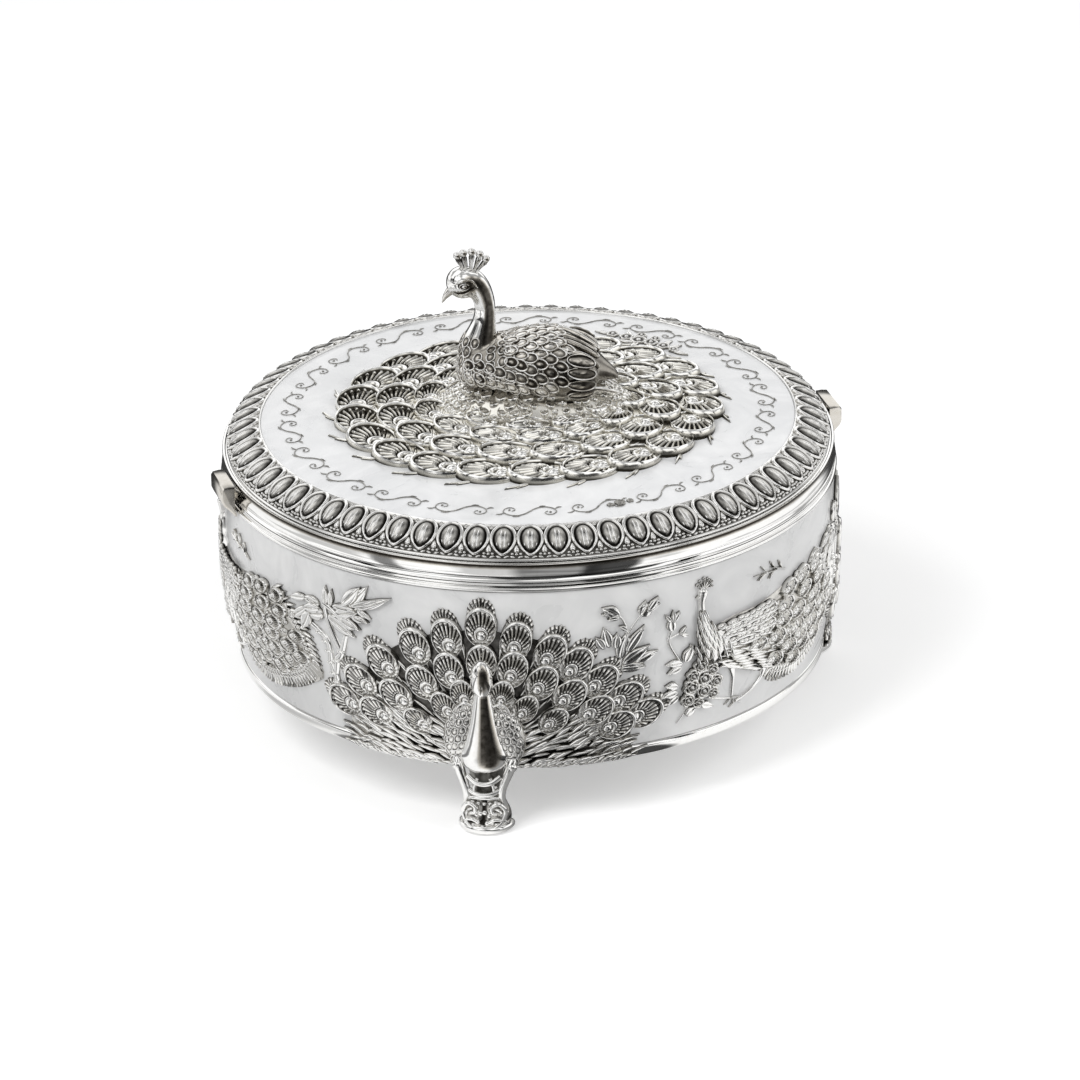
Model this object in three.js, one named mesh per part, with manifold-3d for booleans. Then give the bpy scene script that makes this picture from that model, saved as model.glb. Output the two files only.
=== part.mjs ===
// A round dry fruit box: a silver-plated drum with a pearl enamel wall on three peacock feet,
// a divided tray inside, and a lift-off lid with an egg-and-dart edge, a feather rosette and a peacock knob.
// Lengths are millimetres and angles are degrees. +Z is up, the soles stand on Z = 0, and the drum's axis
// is the Z axis. Azimuth 0 points to -Y, the front, and grows towards +X.
import * as THREE from "three";
import { mergeVertices } from "three/addons/utils/BufferGeometryUtils.js";
import Module from "manifold-3d";

const wasm = await Module();
wasm.setup();

// Driving dimensions
const FIT = 0.3; // gap between pieces that lie against each other
const OVERRUN = 2; // how far every cutting tool runs past what it cuts

const BOX = {
  radius: 142, // widest radius of the enamelled wall
  underside: 29, // height of the drum's lowest edge above the soles
  parting: 133, // height of the plane where the lid meets the drum
  belly: 95, // height above which the wall is straight
  pinch: 5, // how much narrower the wall is at its foot
  wall: 2.5, // metal wall of the drum
  enamel: 1, // enamel on the wall
};

const BOTTOM_RIM = { height: 7, tuck: 4.5, bulge: 0.3, roll: 2.5 };
const FLANGE = { width: 15, thickness: 2 }; // the drum's inward flange, on which the floor lies
const FLOOR = { thickness: 2.5 };
const MOULDING = { height: 4.7, bead: 2.2, beadOut: 1.1, stepOut: 0.2 }; // belt over the enamel
const BAND = { height: 9, lip: 1, hollow: -0.5, foot: 0.5, lipHeight: 1.6 }; // hollow band under the lid
const LUG = { width: 22, reach: 7.5, lip: 9, chamfer: 2.5, drop: 15.7, tail: 2.4 };
const LUG_AZIMUTHS = { handle_right: 105.5, handle_left: -74.5 };

const LID = {
  inset: 2, // how far the lid's edge lies inside the drum's widest radius
  border: 15.8, // width of the egg-and-dart border, from the lid's edge to its panel
  bead: 1.7, // height of the plain edge under the eggs
  rise: 11.1, // from the lid's lower face to the edge of its panel
  enamel: 2.7, // enamel of the panel
  dome: 3.5, // how much higher the panel is at its centre
  sheet: 1.5, // metal sheet of the pan
  skirt: 8, // how far the pan's skirt reaches into the drum
  play: 1, // radial play of the skirt in the drum
};
const LID_RADIUS = BOX.radius - LID.inset;
const PANEL_RADIUS = LID_RADIUS - LID.border; // the enamel panel

const EGGS = { count: 68, bulge: 1.5, groove: 0.5 };

const ROSETTE = { inner: 8, tip: 84, stretch: 1.07, relief: 6, ringFoot: 0.4, step: 2.2, spokes: 44 };
const ROSETTE_RINGS = [
  { feathers: 21, middleShare: 0.887, widthShare: 0.226, liftShare: 0.56 },
  { feathers: 16, middleShare: 0.68, widthShare: 0.2, liftShare: 0.8 },
  { feathers: 13, middleShare: 0.5, widthShare: 0.16, liftShare: 0.96 },
];
const SCROLLS = { inset: 13.2, swing: 3.6, waves: 8, halfWidth: 0.9, relief: 1, curl: 4.2 };
const SCROLL_RADIUS = PANEL_RADIUS - SCROLLS.inset;
const SPRAY = { azimuth: 146.6, inset: 13, blossomRadius: 3.4, stemLength: 4.6, relief: 2 };
const SPRAY_RADIUS = SCROLL_RADIUS - SPRAY.inset;

const BIRD = { length: 74, height: 74.5, width: 40, depth: 40, crestBall: 1.65, stalk: 0.7 };
const KNOB_SCREW = { shaft: 2, head: 4, headHeight: 2.5, length: 24, recess: 2, play: 0.4 };
const WASHER = { radius: 8, thickness: 1 };

const FOOT_AZIMUTHS = { front: -9.3, right: 110.7, left: -129.3 };
const FOOT = {
  height: 86, // from the sole to the crown of the foot's peacock
  width: 24, // width of the sole
  depth: 21.5, // depth of the sole
  reach: 7.5, // how far the toes stand out past the drum
  toe: 4.4,
  crestBall: 2.6,
  crestRise: 8,
  wingWidth: 17,
  wingDepth: 7,
  wingHeight: 30,
  tongueWidth: 16,
  tongueThickness: 4.2,
  tongueLength: 24,
};
const FOOT_SCREW = { inset: 14, shaft: 2, head: 3.4, headHeight: 1.5, bite: 3, play: 0.6 };

const FOOT_SCREW_RADIUS = BOX.radius - FOOT_SCREW.inset;

const FAN = { radius: 80, notch: 6, inner: 20, relief: 3.2, feathers: 13, lift: 0.8 };
const RELIEF = { gap: 0.5, walkerHeight: 2.4, plantHeight: 1.6, stemHeight: 1, blossomHeight: 2.6 };

const TRAY = { play: 1.2, wall: 1.5, floor: 1.5, height: 60, lip: 1.2, lipHeight: 2 };
const DIVIDER = { thickness: 2, drop: 3 };

// Counts
const SIDES = 36; // sides of every turned ring and disc
const SMALL_SIDES = 12; // sides of screws and of the knob bird's sections
const FOOT_SIDES = 10; // sides of a foot's sections

// Levels and radii that follow from them
const WALL_FOOT = BOX.underside + BOTTOM_RIM.height;
const BAND_FOOT = BOX.parting - BAND.height;
const WALL_HEAD = BAND_FOOT - MOULDING.height;
const ENAMEL_HEIGHT = WALL_HEAD - WALL_FOOT;
const METAL_INSET = BOX.enamel + FIT;
const FLOOR_FOOT = WALL_FOOT + FLANGE.thickness + 2 * FIT;
const FLOOR_HEAD = FLOOR_FOOT + FLOOR.thickness;
const DRUM_MOUTH = BOX.radius - METAL_INSET - BOX.wall;
const LID_FOOT = BOX.parting + FIT;
const PANEL_EDGE = LID_FOOT + LID.rise;
const SKIRT = DRUM_MOUTH - LID.play;
const TRAY_FOOT = FLOOR_HEAD + FIT;
const TRAY_HEAD = TRAY_FOOT + TRAY.height;

// Materials
const silver = new THREE.MeshStandardMaterial({ color: 0xd9d8d3, roughness: 0.16, metalness: 1 });
const castSilver = new THREE.MeshStandardMaterial({ color: 0xcfcdc6, roughness: 0.26, metalness: 1 });
const sideEnamel = new THREE.MeshStandardMaterial({ color: 0xd6d8da, roughness: 0.3, metalness: 0 });
const lidEnamel = new THREE.MeshStandardMaterial({ color: 0xebecec, roughness: 0.28, metalness: 0 });
const steel = new THREE.MeshStandardMaterial({ color: 0xb4b6b8, roughness: 0.35, metalness: 1 });
const trayMetal = new THREE.MeshStandardMaterial({ color: 0xc9c9c6, roughness: 0.3, metalness: 1 });

// A point at an azimuth and a radius round the drum's axis.
function polar(azimuth, radius, height) {
  const angle = THREE.MathUtils.degToRad(azimuth);
  return new THREE.Vector3(radius * Math.sin(angle), -radius * Math.cos(angle), height);
}

// The radius of the enamelled wall at a height: straight above the belly, drawn in towards the foot.
function wallRadius(height) {
  const share = Math.max(0, (BOX.belly - Math.max(height, WALL_FOOT)) / (BOX.belly - WALL_FOOT));
  return BOX.radius - BOX.pinch * share * share;
}

// The height of the lid's panel at a radius.
function panelHeight(radius) {
  return PANEL_EDGE + LID.dome * (1 - (radius / PANEL_RADIUS) ** 2);
}

// A closed geometry as a solid, turned the right way out.
function solidOf(geometry) {
  const bare = new THREE.BufferGeometry();
  bare.setAttribute("position", geometry.getAttribute("position"));
  bare.setIndex(geometry.index);
  const merged = mergeVertices(bare);
  const vertProperties = merged.getAttribute("position").array;
  const triVerts = new Uint32Array(merged.index.array);
  const solid = new wasm.Manifold(new wasm.Mesh({ numProp: 3, vertProperties, triVerts }));
  if (solid.volume() > 0) return solid;
  return new wasm.Manifold(new wasm.Mesh({ numProp: 3, vertProperties, triVerts: triVerts.reverse() }));
}

// A solid as a geometry that a mesh can show.
function geometryOf(solid) {
  const { numProp, vertProperties, triVerts } = solid.getMesh();
  const geometry = new THREE.BufferGeometry();
  geometry.setAttribute("position", new THREE.BufferAttribute(vertProperties, numProp));
  geometry.setIndex(new THREE.BufferAttribute(triVerts, 1));
  geometry.computeVertexNormals();
  return geometry;
}

function joined(solids) {
  return solids.reduce((whole, solid) => whole.add(solid));
}

// Turns a closed outline of [radius, height] points about the axis.
function turned(outline, sides = SIDES) {
  const points = outline.map(([radius, height]) => new THREE.Vector2(radius, height));
  const geometry = new THREE.LatheGeometry([...points, points[0]], sides);
  return solidOf(geometry.rotateX(Math.PI / 2));
}

// The faces that close a flat loop, wound as the loop is.
function capOf(loop) {
  const normal = new THREE.Vector3();
  loop.forEach((point, i) => {
    normal.add(new THREE.Vector3().crossVectors(point, loop[(i + 1) % loop.length]));
  });
  normal.normalize();
  const across = new THREE.Vector3().subVectors(loop[1], loop[0]).normalize();
  const up = new THREE.Vector3().crossVectors(normal, across);
  const flat = loop.map((point) => new THREE.Vector2(point.dot(across), point.dot(up)));
  return THREE.ShapeUtils.triangulateShape(flat, []).map(([a, b, c]) => {
    const corner = THREE.ShapeUtils.area([flat[a], flat[b], flat[c]]);
    return corner > 0 ? [a, b, c] : [a, c, b];
  });
}

// Joins a row of loops of as many points into one closed body. A ring joins its last loop to its first.
function skinned(loops, ring = false) {
  const size = loops[0].length;
  const faces = [];
  const spans = ring ? loops.length : loops.length - 1;
  for (let i = 0; i < spans; i += 1) {
    const here = i * size;
    const next = ((i + 1) % loops.length) * size;
    for (let j = 0; j < size; j += 1) {
      const k = (j + 1) % size;
      faces.push([here + j, here + k, next + k], [here + j, next + k, next + j]);
    }
  }
  if (!ring) {
    const last = (loops.length - 1) * size;
    capOf(loops[0]).forEach(([a, b, c]) => faces.push([a, c, b]));
    capOf(loops[loops.length - 1]).forEach(([a, b, c]) => faces.push([last + a, last + b, last + c]));
  }
  const geometry = new THREE.BufferGeometry().setFromPoints(loops.flat());
  geometry.setIndex(faces.flat());
  return solidOf(geometry);
}

// A body of oval sections: each has its centre and the two half axes, wide and deep, that span it.
function ovals(stations, sides = SMALL_SIDES) {
  const loops = stations.map(({ centre, wide, deep }) =>
    Array.from({ length: sides }, (_, i) => {
      const angle = (i / sides) * 2 * Math.PI;
      const side = wide.clone().multiplyScalar(Math.cos(angle));
      return side.add(deep.clone().multiplyScalar(Math.sin(angle))).add(centre);
    }),
  );
  return skinned(loops);
}

function ball(centre, radii, turnY = 0, sides = 8) {
  const geometry = new THREE.SphereGeometry(1, sides, sides - 2);
  geometry.scale(radii.x, radii.y, radii.z);
  geometry.rotateY(THREE.MathUtils.degToRad(turnY));
  geometry.translate(centre.x, centre.y, centre.z);
  return solidOf(geometry);
}

// A straight rod between two points.
function rod(from, to, radius, tipRadius = radius) {
  const way = new THREE.Vector3().subVectors(to, from);
  const geometry = new THREE.CylinderGeometry(tipRadius, radius, way.length(), 6);
  const upright = new THREE.Vector3(0, 1, 0);
  geometry.applyQuaternion(new THREE.Quaternion().setFromUnitVectors(upright, way.clone().normalize()));
  const middle = from.clone().addScaledVector(way, 0.5);
  return solidOf(geometry.translate(middle.x, middle.y, middle.z));
}

// Two curved grounds that relief lies on: each turns flat places and a lift into a point.
// On the wall, x is the arc to the right and y the height above the enamel's foot.
function onWall(x, y, lift) {
  const height = WALL_FOOT + y;
  const azimuth = THREE.MathUtils.radToDeg(x / BOX.radius);
  return polar(azimuth, wallRadius(height) + RELIEF.gap + lift, height);
}

// On the lid, x and y are the box's own.
function onPanel(x, y, lift) {
  return new THREE.Vector3(x, y, panelHeight(Math.hypot(x, y)) + FIT + lift);
}

// A raised strip along stations of [x, y, half width] on a ground.
function strip(ground, stations, relief, { across = 2, steps = 3, ring = false } = {}) {
  const route = new THREE.CatmullRomCurve3(stations.map((station) => new THREE.Vector3(...station)), ring);
  const sides = Array.from({ length: across + 1 }, (_, i) => (2 * i) / across - 1);
  const loops = [];
  for (let i = 0; i < (ring ? steps : steps + 1); i += 1) {
    const at = route.getPoint(i / steps);
    const way = route.getTangent(i / steps).setZ(0).normalize();
    const point = (side, lift) => ground(at.x - way.y * side * at.z, at.y + way.x * side * at.z, lift);
    const front = sides.map((side) => point(side, relief * Math.sqrt(1 - side * side)));
    const back = sides.slice(1, -1).reverse().map((side) => point(side, 0));
    loops.push([...front, ...back]);
  }
  return skinned(loops, ring);
}

// A low domed blossom of petals on a ground.
function blossom(ground, x, y, radius, relief) {
  const petals = 4;
  const corners = Array.from({ length: 2 * petals }, (_, i) => (i * Math.PI) / petals);
  const reach = (i) => radius * (i % 2 ? 0.78 : 1);
  const ringAt = (share, lift) =>
    corners.map((angle, i) => {
      const out = reach(i) * share;
      return ground(x + out * Math.cos(angle), y + out * Math.sin(angle), lift);
    });
  return skinned([ringAt(1, 0), ringAt(1, relief * 0.5), ringAt(0.45, relief)]);
}

// A flat screw, head up, whose top is at a height; grow makes the hole that it passes through.
function screw({ shaft, head, headHeight }, top, foot, grow = 0, above = 0) {
  return turned(
    [
      [0, top + above],
      [head + grow, top + above],
      [head + grow, top],
      [shaft + grow, top - headHeight],
      [shaft + grow, foot],
      [0, foot],
    ],
    SMALL_SIDES,
  );
}

// Heights at which the wall's outline has a point.
const WALL_SHARES = [0, 0.3, 0.6, 1];
const WALL_LEVELS = WALL_SHARES.map((share) => WALL_FOOT + FIT + share * (BOX.belly - WALL_FOOT - FIT));

function metalRadius(height) {
  return wallRadius(height) - METAL_INSET;
}

function footScrewHoles(grow) {
  const top = FLOOR_HEAD;
  const tool = screw(FOOT_SCREW, top, BOX.underside - FOOT.tongueThickness - OVERRUN, grow, OVERRUN);
  return joined(
    Object.values(FOOT_AZIMUTHS).map((azimuth) => {
      const at = polar(azimuth, FOOT_SCREW_RADIUS, 0);
      return tool.translate([at.x, at.y, 0]);
    }),
  );
}

// Drum
function drumWall() {
  const outer = WALL_LEVELS.map((height) => [metalRadius(height), height]);
  const inner = WALL_LEVELS.map((height) => [metalRadius(height) - BOX.wall, height]);
  const flangeHead = WALL_FOOT + FIT + FLANGE.thickness;
  const flangeEdge = metalRadius(WALL_FOOT) - FLANGE.width;
  inner[0] = [metalRadius(flangeHead) - BOX.wall, flangeHead];
  const body = turned([
    [flangeEdge, WALL_FOOT + FIT],
    ...outer,
    [metalRadius(BOX.parting), BOX.parting],
    [metalRadius(BOX.parting) - BOX.wall, BOX.parting],
    ...inner.reverse(),
    [flangeEdge, flangeHead],
  ]);
  return body.subtract(footScrewHoles(FOOT_SCREW.play));
}

function drumFloor() {
  const edge = metalRadius(FLOOR_FOOT) - BOX.wall - FIT;
  const plate = turned([
    [0, FLOOR_FOOT],
    [edge, FLOOR_FOOT],
    [edge, FLOOR_HEAD],
    [0, FLOOR_HEAD],
  ]);
  return plate.subtract(footScrewHoles(FOOT_SCREW.play));
}

function bottomRim() {
  const outer = wallRadius(WALL_FOOT);
  const inner = metalRadius(WALL_FOOT) - FLANGE.width;
  const ring = turned([
    [inner, BOX.underside],
    [outer - BOTTOM_RIM.tuck, BOX.underside],
    [outer - BOTTOM_RIM.bulge, BOX.underside + BOTTOM_RIM.roll],
    [outer + BOTTOM_RIM.bulge, WALL_FOOT - BOTTOM_RIM.roll],
    [outer, WALL_FOOT],
    [inner, WALL_FOOT],
  ]);
  return ring.subtract(footScrewHoles(FOOT_SCREW.play));
}

function wallEnamel() {
  const levels = [...WALL_LEVELS, WALL_HEAD - FIT];
  const outer = levels.map((height) => [wallRadius(height), height]);
  const inner = levels.map((height) => [wallRadius(height) - BOX.enamel, height]);
  return turned([...outer, ...inner.reverse()]);
}

function beltMoulding() {
  const inner = BOX.radius - BOX.enamel;
  const foot = WALL_HEAD;
  const beadHead = foot + MOULDING.bead;
  return turned([
    [inner, foot],
    [BOX.radius + MOULDING.stepOut, foot],
    [BOX.radius + MOULDING.beadOut, foot + MOULDING.bead / 2],
    [BOX.radius + MOULDING.stepOut, beadHead],
    [BOX.radius + MOULDING.stepOut, BAND_FOOT - FIT],
    [inner, BAND_FOOT - FIT],
  ]);
}

function rimBand() {
  const inner = BOX.radius - BOX.enamel;
  const lipFoot = BOX.parting - BAND.lipHeight;
  return turned([
    [inner, BAND_FOOT],
    [BOX.radius + BAND.foot, BAND_FOOT],
    [BOX.radius + BAND.hollow, (BAND_FOOT + lipFoot) / 2],
    [BOX.radius + BAND.lip, lipFoot],
    [BOX.radius + BAND.lip, BOX.parting],
    [inner, BOX.parting],
  ]);
}

// A small finger lug with a curved bracket back to the wall, made on the front and turned into place.
function lug() {
  const back = BOX.radius + MOULDING.beadOut + FIT;
  const wallSide = BOX.radius + 2 * FIT;
  const front = BOX.radius + LUG.reach;
  const foot = BOX.parting - LUG.drop;
  const step = WALL_HEAD - FIT;
  const outline = new THREE.Shape();
  outline.moveTo(back, BOX.parting);
  outline.lineTo(front, BOX.parting);
  outline.lineTo(front, BOX.parting - LUG.lip);
  outline.lineTo(front - LUG.chamfer, BOX.parting - LUG.lip - LUG.chamfer);
  outline.quadraticCurveTo(wallSide + LUG.tail, step, wallSide + LUG.tail / 2, foot);
  outline.lineTo(wallSide, foot);
  outline.lineTo(wallSide, step);
  outline.lineTo(back, step);
  const geometry = new THREE.ExtrudeGeometry(outline, {
    depth: LUG.width,
    bevelEnabled: false,
    curveSegments: 4,
  });
  geometry.translate(0, 0, -LUG.width / 2);
  geometry.rotateX(Math.PI / 2);
  geometry.rotateZ(-Math.PI / 2);
  return solidOf(geometry);
}

// Feet
// Sections of the foot's peacock, from the sole up: [height, half width, back, front] as shares of its
// height, half of its width and its depth.
const FOOT_SHARES = [
  [0, 0.96, 0.04, 0.92],
  [0.06, 1, 0, 0.96],
  [0.18, 0.64, 0.28, 0.9],
  [0.28, 0.58, 0.36, 0.92],
  [0.43, 0.86, 0.4, 1],
  [0.53, 0.8, 0.44, 0.99],
  [0.63, 0.56, 0.56, 0.97],
  [0.74, 0.38, 0.68, 0.99],
  [0.86, 0.34, 0.7, 1],
  [0.94, 0.4, 0.64, 1],
  [1, 0.12, 0.76, 0.9],
];

// A turned solid that fills the drum out to some way past its wall.
function drumFill(rimExtra, wallExtra) {
  const spread = 1 / Math.cos(Math.PI / SIDES);
  const levels = [WALL_FOOT, ...WALL_LEVELS, WALL_HEAD];
  return turned([
    [0, BOX.underside - FIT],
    [(wallRadius(WALL_FOOT) + rimExtra) * spread, BOX.underside - FIT],
    [(wallRadius(WALL_FOOT) + rimExtra) * spread, WALL_FOOT],
    ...levels.map((height) => [(wallRadius(height) + wallExtra) * spread, height]),
    [0, WALL_HEAD],
  ]);
}

// The open heart of a feather fan, where the foot lies against the wall.
function fanHeart() {
  const depth = 4 * FOOT.depth;
  const geometry = new THREE.CylinderGeometry(FAN.inner - 2 * FIT, FAN.inner - 2 * FIT, depth, SMALL_SIDES);
  return solidOf(geometry.translate(0, -BOX.radius, WALL_FOOT + FAN.lift));
}

function peacockFoot() {
  const front = BOX.radius + FOOT.reach;
  const back = front - FOOT.depth;
  const sections = FOOT_SHARES.map(([height, half, near, far]) => ({
    centre: new THREE.Vector3(0, -(back + (FOOT.depth * (near + far)) / 2), height * FOOT.height),
    wide: new THREE.Vector3((half * FOOT.width) / 2, 0, 0),
    deep: new THREE.Vector3(0, (FOOT.depth * (far - near)) / 2, 0),
  }));
  const toes = [-1, 0, 1].map((side) => {
    const centre = new THREE.Vector3(side * FOOT.toe * 1.7, FOOT.toe - front + Math.abs(side), FOOT.toe * 0.8);
    return ball(centre, new THREE.Vector3(FOOT.toe, FOOT.toe, FOOT.toe), 0, 6);
  });
  const wings = [-1, 1].map((side) => {
    const centre = new THREE.Vector3((side * FOOT.wingWidth) / 2, 0, FOOT.height * 0.56);
    centre.y = -(wallRadius(centre.z) + FOOT.wingDepth / 4);
    const radii = new THREE.Vector3(FOOT.wingWidth / 2, FOOT.wingDepth, FOOT.wingHeight / 2);
    return ball(centre, radii, side * -18);
  });
  const crown = new THREE.Vector3(0, FOOT.depth * 0.17 - front, FOOT.height - FOOT.crestBall);
  const crest = crown.clone().setZ(FOOT.height + FOOT.crestRise);
  const body = joined([
    ovals(sections, FOOT_SIDES),
    ...toes,
    ...wings,
    rod(crown, crest, FOOT.crestBall / 3),
    ball(crest, new THREE.Vector3(FOOT.crestBall, FOOT.crestBall, FOOT.crestBall), 0, 6),
  ]);
  const rimExtra = BOTTOM_RIM.bulge + FIT;
  const fanFill = drumFill(rimExtra, FAN.relief + RELIEF.gap + FIT).subtract(fanHeart());
  const tongue = new THREE.BoxGeometry(FOOT.tongueWidth, FOOT.tongueLength, FOOT.tongueThickness);
  const tongueHead = BOX.underside - FIT;
  const tongueMiddle = -(FOOT_SCREW_RADIUS - FOOT.tongueWidth / 2 + FOOT.tongueLength / 2);
  tongue.translate(0, tongueMiddle, tongueHead - FOOT.tongueThickness / 2);
  const ground = new THREE.BoxGeometry(4 * FOOT.width, 4 * FOOT.depth, 4 * FOOT.toe);
  ground.translate(0, -BOX.radius, -2 * FOOT.toe);
  const hole = screw(FOOT_SCREW, FLOOR_HEAD, 0, FOOT_SCREW.play).translate([0, -FOOT_SCREW_RADIUS, 0]);
  return body
    .subtract(drumFill(rimExtra, FIT))
    .subtract(fanFill)
    .add(solidOf(tongue))
    .subtract(solidOf(ground))
    .subtract(hole);
}

function footScrew() {
  const foot = BOX.underside - FIT - FOOT_SCREW.bite;
  return screw(FOOT_SCREW, FLOOR_HEAD - FIT, foot).translate([0, -FOOT_SCREW_RADIUS, 0]);
}

// Side reliefs, made round azimuth 0 and turned to their foot
// Three rows of eyes from the fan's heart to its tips: [place, lift on a feather, lift between two].
const FAN_SHARES = [
  [0, 0, 0],
  [0.1, 0.9, 0.55],
  [0.24, 1, 0.65],
  [0.34, 0.66, 0.45],
  [0.44, 1, 0.6],
  [0.57, 0.92, 0.5],
  [0.64, 0.6, 0.42],
  [0.76, 1, 0.5],
  [0.9, 0.85, 0.35],
  [1, 0, 0],
];

// Places, as shares of a spoke, at which the fan's back has a point, so that it follows the wall.
const FAN_BACK_SHARES = [0.76, 0.5, 0.24];

// Spokes run from the fan's heart to the tip of a feather or to the notch between two.
function featherFan() {
  const spokes = Array.from({ length: 2 * FAN.feathers + 1 }, (_, i) => i);
  const loops = spokes.map((i) => {
    const angle = (Math.PI * i) / (2 * FAN.feathers) - Math.PI / 2;
    const onFeather = i % 2 === 1;
    const reach = FAN.radius - FAN.inner - (onFeather ? 0 : FAN.notch);
    const point = (place, lift) => {
      const out = FAN.inner + reach * place;
      return onWall(out * Math.sin(angle), FAN.lift + out * Math.cos(angle), FAN.relief * lift);
    };
    const front = FAN_SHARES.map(([place, high, low]) => point(place, onFeather ? high : low));
    return [...front, ...FAN_BACK_SHARES.map((place) => point(place, 0))];
  });
  return skinned(loops);
}

// A station table of [azimuth, height share, half width share] as places on the wall. The root stands at its
// azimuth, and a degree from there is a share of the enamel's height, so that a relief keeps its shape.
const DEGREE_SHARE = 0.02975;

function wallStations(shares, root = shares[0][0]) {
  const middle = THREE.MathUtils.degToRad(root) * BOX.radius;
  return shares.map(([azimuth, height, half]) => [
    middle + (azimuth - root) * DEGREE_SHARE * ENAMEL_HEIGHT,
    height * ENAMEL_HEIGHT,
    half * ENAMEL_HEIGHT,
  ]);
}

const WALKER_TAIL_SHARES = [
  [44, 0.52, 0.1],
  [51, 0.51, 0.17],
  [59, 0.52, 0.27],
  [68, 0.5, 0.32],
  [75, 0.42, 0.26],
  [80.5, 0.28, 0.14],
  [85, 0.24, 0.04],
];
const WALKER_NECK_SHARES = [
  [47, 0.5, 0.12],
  [43.5, 0.58, 0.09],
  [41.8, 0.68, 0.05],
  [42.6, 0.8, 0.032],
  [42.4, 0.88, 0.045],
  [40.4, 0.88, 0.022],
  [38.8, 0.86, 0.006],
];
const WALKER_LEG_SHARES = [
  [
    [48.5, 0.42, 0.03],
    [49.5, 0.27, 0.018],
    [48.5, 0.12, 0.03],
  ],
  [
    [52, 0.42, 0.03],
    [52.5, 0.27, 0.018],
    [52, 0.1, 0.03],
  ],
];

function walkingPeacock() {
  const root = WALKER_TAIL_SHARES[0][0];
  const tail = strip(onWall, wallStations(WALKER_TAIL_SHARES), RELIEF.walkerHeight, { across: 4, steps: 8 });
  const neck = strip(onWall, wallStations(WALKER_NECK_SHARES, root), RELIEF.walkerHeight, { steps: 7 });
  const legs = WALKER_LEG_SHARES.map((shares) => strip(onWall, wallStations(shares, root), RELIEF.stemHeight));
  return joined([tail, neck, ...legs]);
}

const BAMBOO_SHARES = [
  [
    [-31.5, 0.2, 0.02],
    [-31.2, 0.5, 0.022],
    [-30.4, 0.88, 0.018],
  ],
  [
    [-32.6, 0.36, 0.016],
    [-32.4, 0.55, 0.018],
    [-30.6, 0.82, 0.014],
  ],
  [
    [-30.6, 0.85, 0.02],
    [-35, 0.84, 0.045],
    [-39.5, 0.79, 0.008],
  ],
  [
    [-30.6, 0.85, 0.02],
    [-35, 0.93, 0.04],
    [-39, 0.93, 0.008],
  ],
  [
    [-30.6, 0.85, 0.02],
    [-30, 0.94, 0.04],
    [-31, 1, 0.008],
  ],
  [
    [-30.6, 0.85, 0.02],
    [-25, 0.93, 0.04],
    [-19, 0.93, 0.008],
  ],
  [
    [-30.6, 0.85, 0.02],
    [-25.5, 0.82, 0.04],
    [-21, 0.74, 0.008],
  ],
];
const BRANCH_SHARES = [
  [
    [28.6, 0.62, 0.03],
    [29.4, 0.8, 0.015],
    [31.6, 0.97, 0.02],
  ],
  [
    [28.8, 0.68, 0.03],
    [32, 0.72, 0.05],
    [35, 0.72, 0.01],
  ],
  [
    [29.2, 0.78, 0.02],
    [32, 0.88, 0.03],
    [34.6, 0.94, 0.01],
  ],
  [
    [28.6, 0.64, 0.03],
    [31.6, 0.58, 0.04],
    [34.4, 0.52, 0.01],
  ],
];
const TWIG_SHARES = [
  [
    [38.4, 0.26, 0.02],
    [36.4, 0.5, 0.016],
    [36.2, 0.82, 0.022],
  ],
  [
    [38.4, 0.24, 0.03],
    [35.6, 0.24, 0.04],
    [33.6, 0.2, 0.01],
  ],
];
const PEONY = { azimuth: 40, heightShare: 0.25, blossomRadius: 8.5 };
// The middles of the peony's blossoms, across and up from its own middle, in shares of a blossom's radius.
const PEONY_SHARES = [
  [-0.35, 0.65],
  [0.6, 0],
  [-0.35, -0.65],
];

function plant(table, root = table[0][0][0]) {
  const [stem, ...leaves] = table.map((shares) => wallStations(shares, root));
  return joined([
    strip(onWall, stem, RELIEF.stemHeight),
    ...leaves.map((stations) => strip(onWall, stations, RELIEF.plantHeight, { steps: 2 })),
  ]);
}

function peonySpray() {
  const middle = THREE.MathUtils.degToRad(PEONY.azimuth) * BOX.radius;
  const height = PEONY.heightShare * ENAMEL_HEIGHT;
  const blossoms = PEONY_SHARES.map(([across, up], i) => {
    const x = middle + across * PEONY.blossomRadius;
    const relief = RELIEF.blossomHeight - i * FIT;
    return blossom(onWall, x, height + up * PEONY.blossomRadius, PEONY.blossomRadius, relief);
  });
  return joined([plant(TWIG_SHARES, PEONY.azimuth), ...blossoms]);
}

// Tray
function trayPan() {
  const outer = metalRadius(TRAY_FOOT) - BOX.wall - TRAY.play;
  const inner = outer - TRAY.wall;
  return turned([
    [0, TRAY_FOOT],
    [outer - TRAY.lip, TRAY_FOOT],
    [outer - TRAY.lip, TRAY_HEAD - TRAY.lipHeight],
    [outer, TRAY_HEAD - TRAY.lipHeight],
    [outer, TRAY_HEAD],
    [inner - TRAY.lip, TRAY_HEAD],
    [inner - TRAY.lip, TRAY_FOOT + TRAY.floor],
    [0, TRAY_FOOT + TRAY.floor],
  ]);
}

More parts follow.
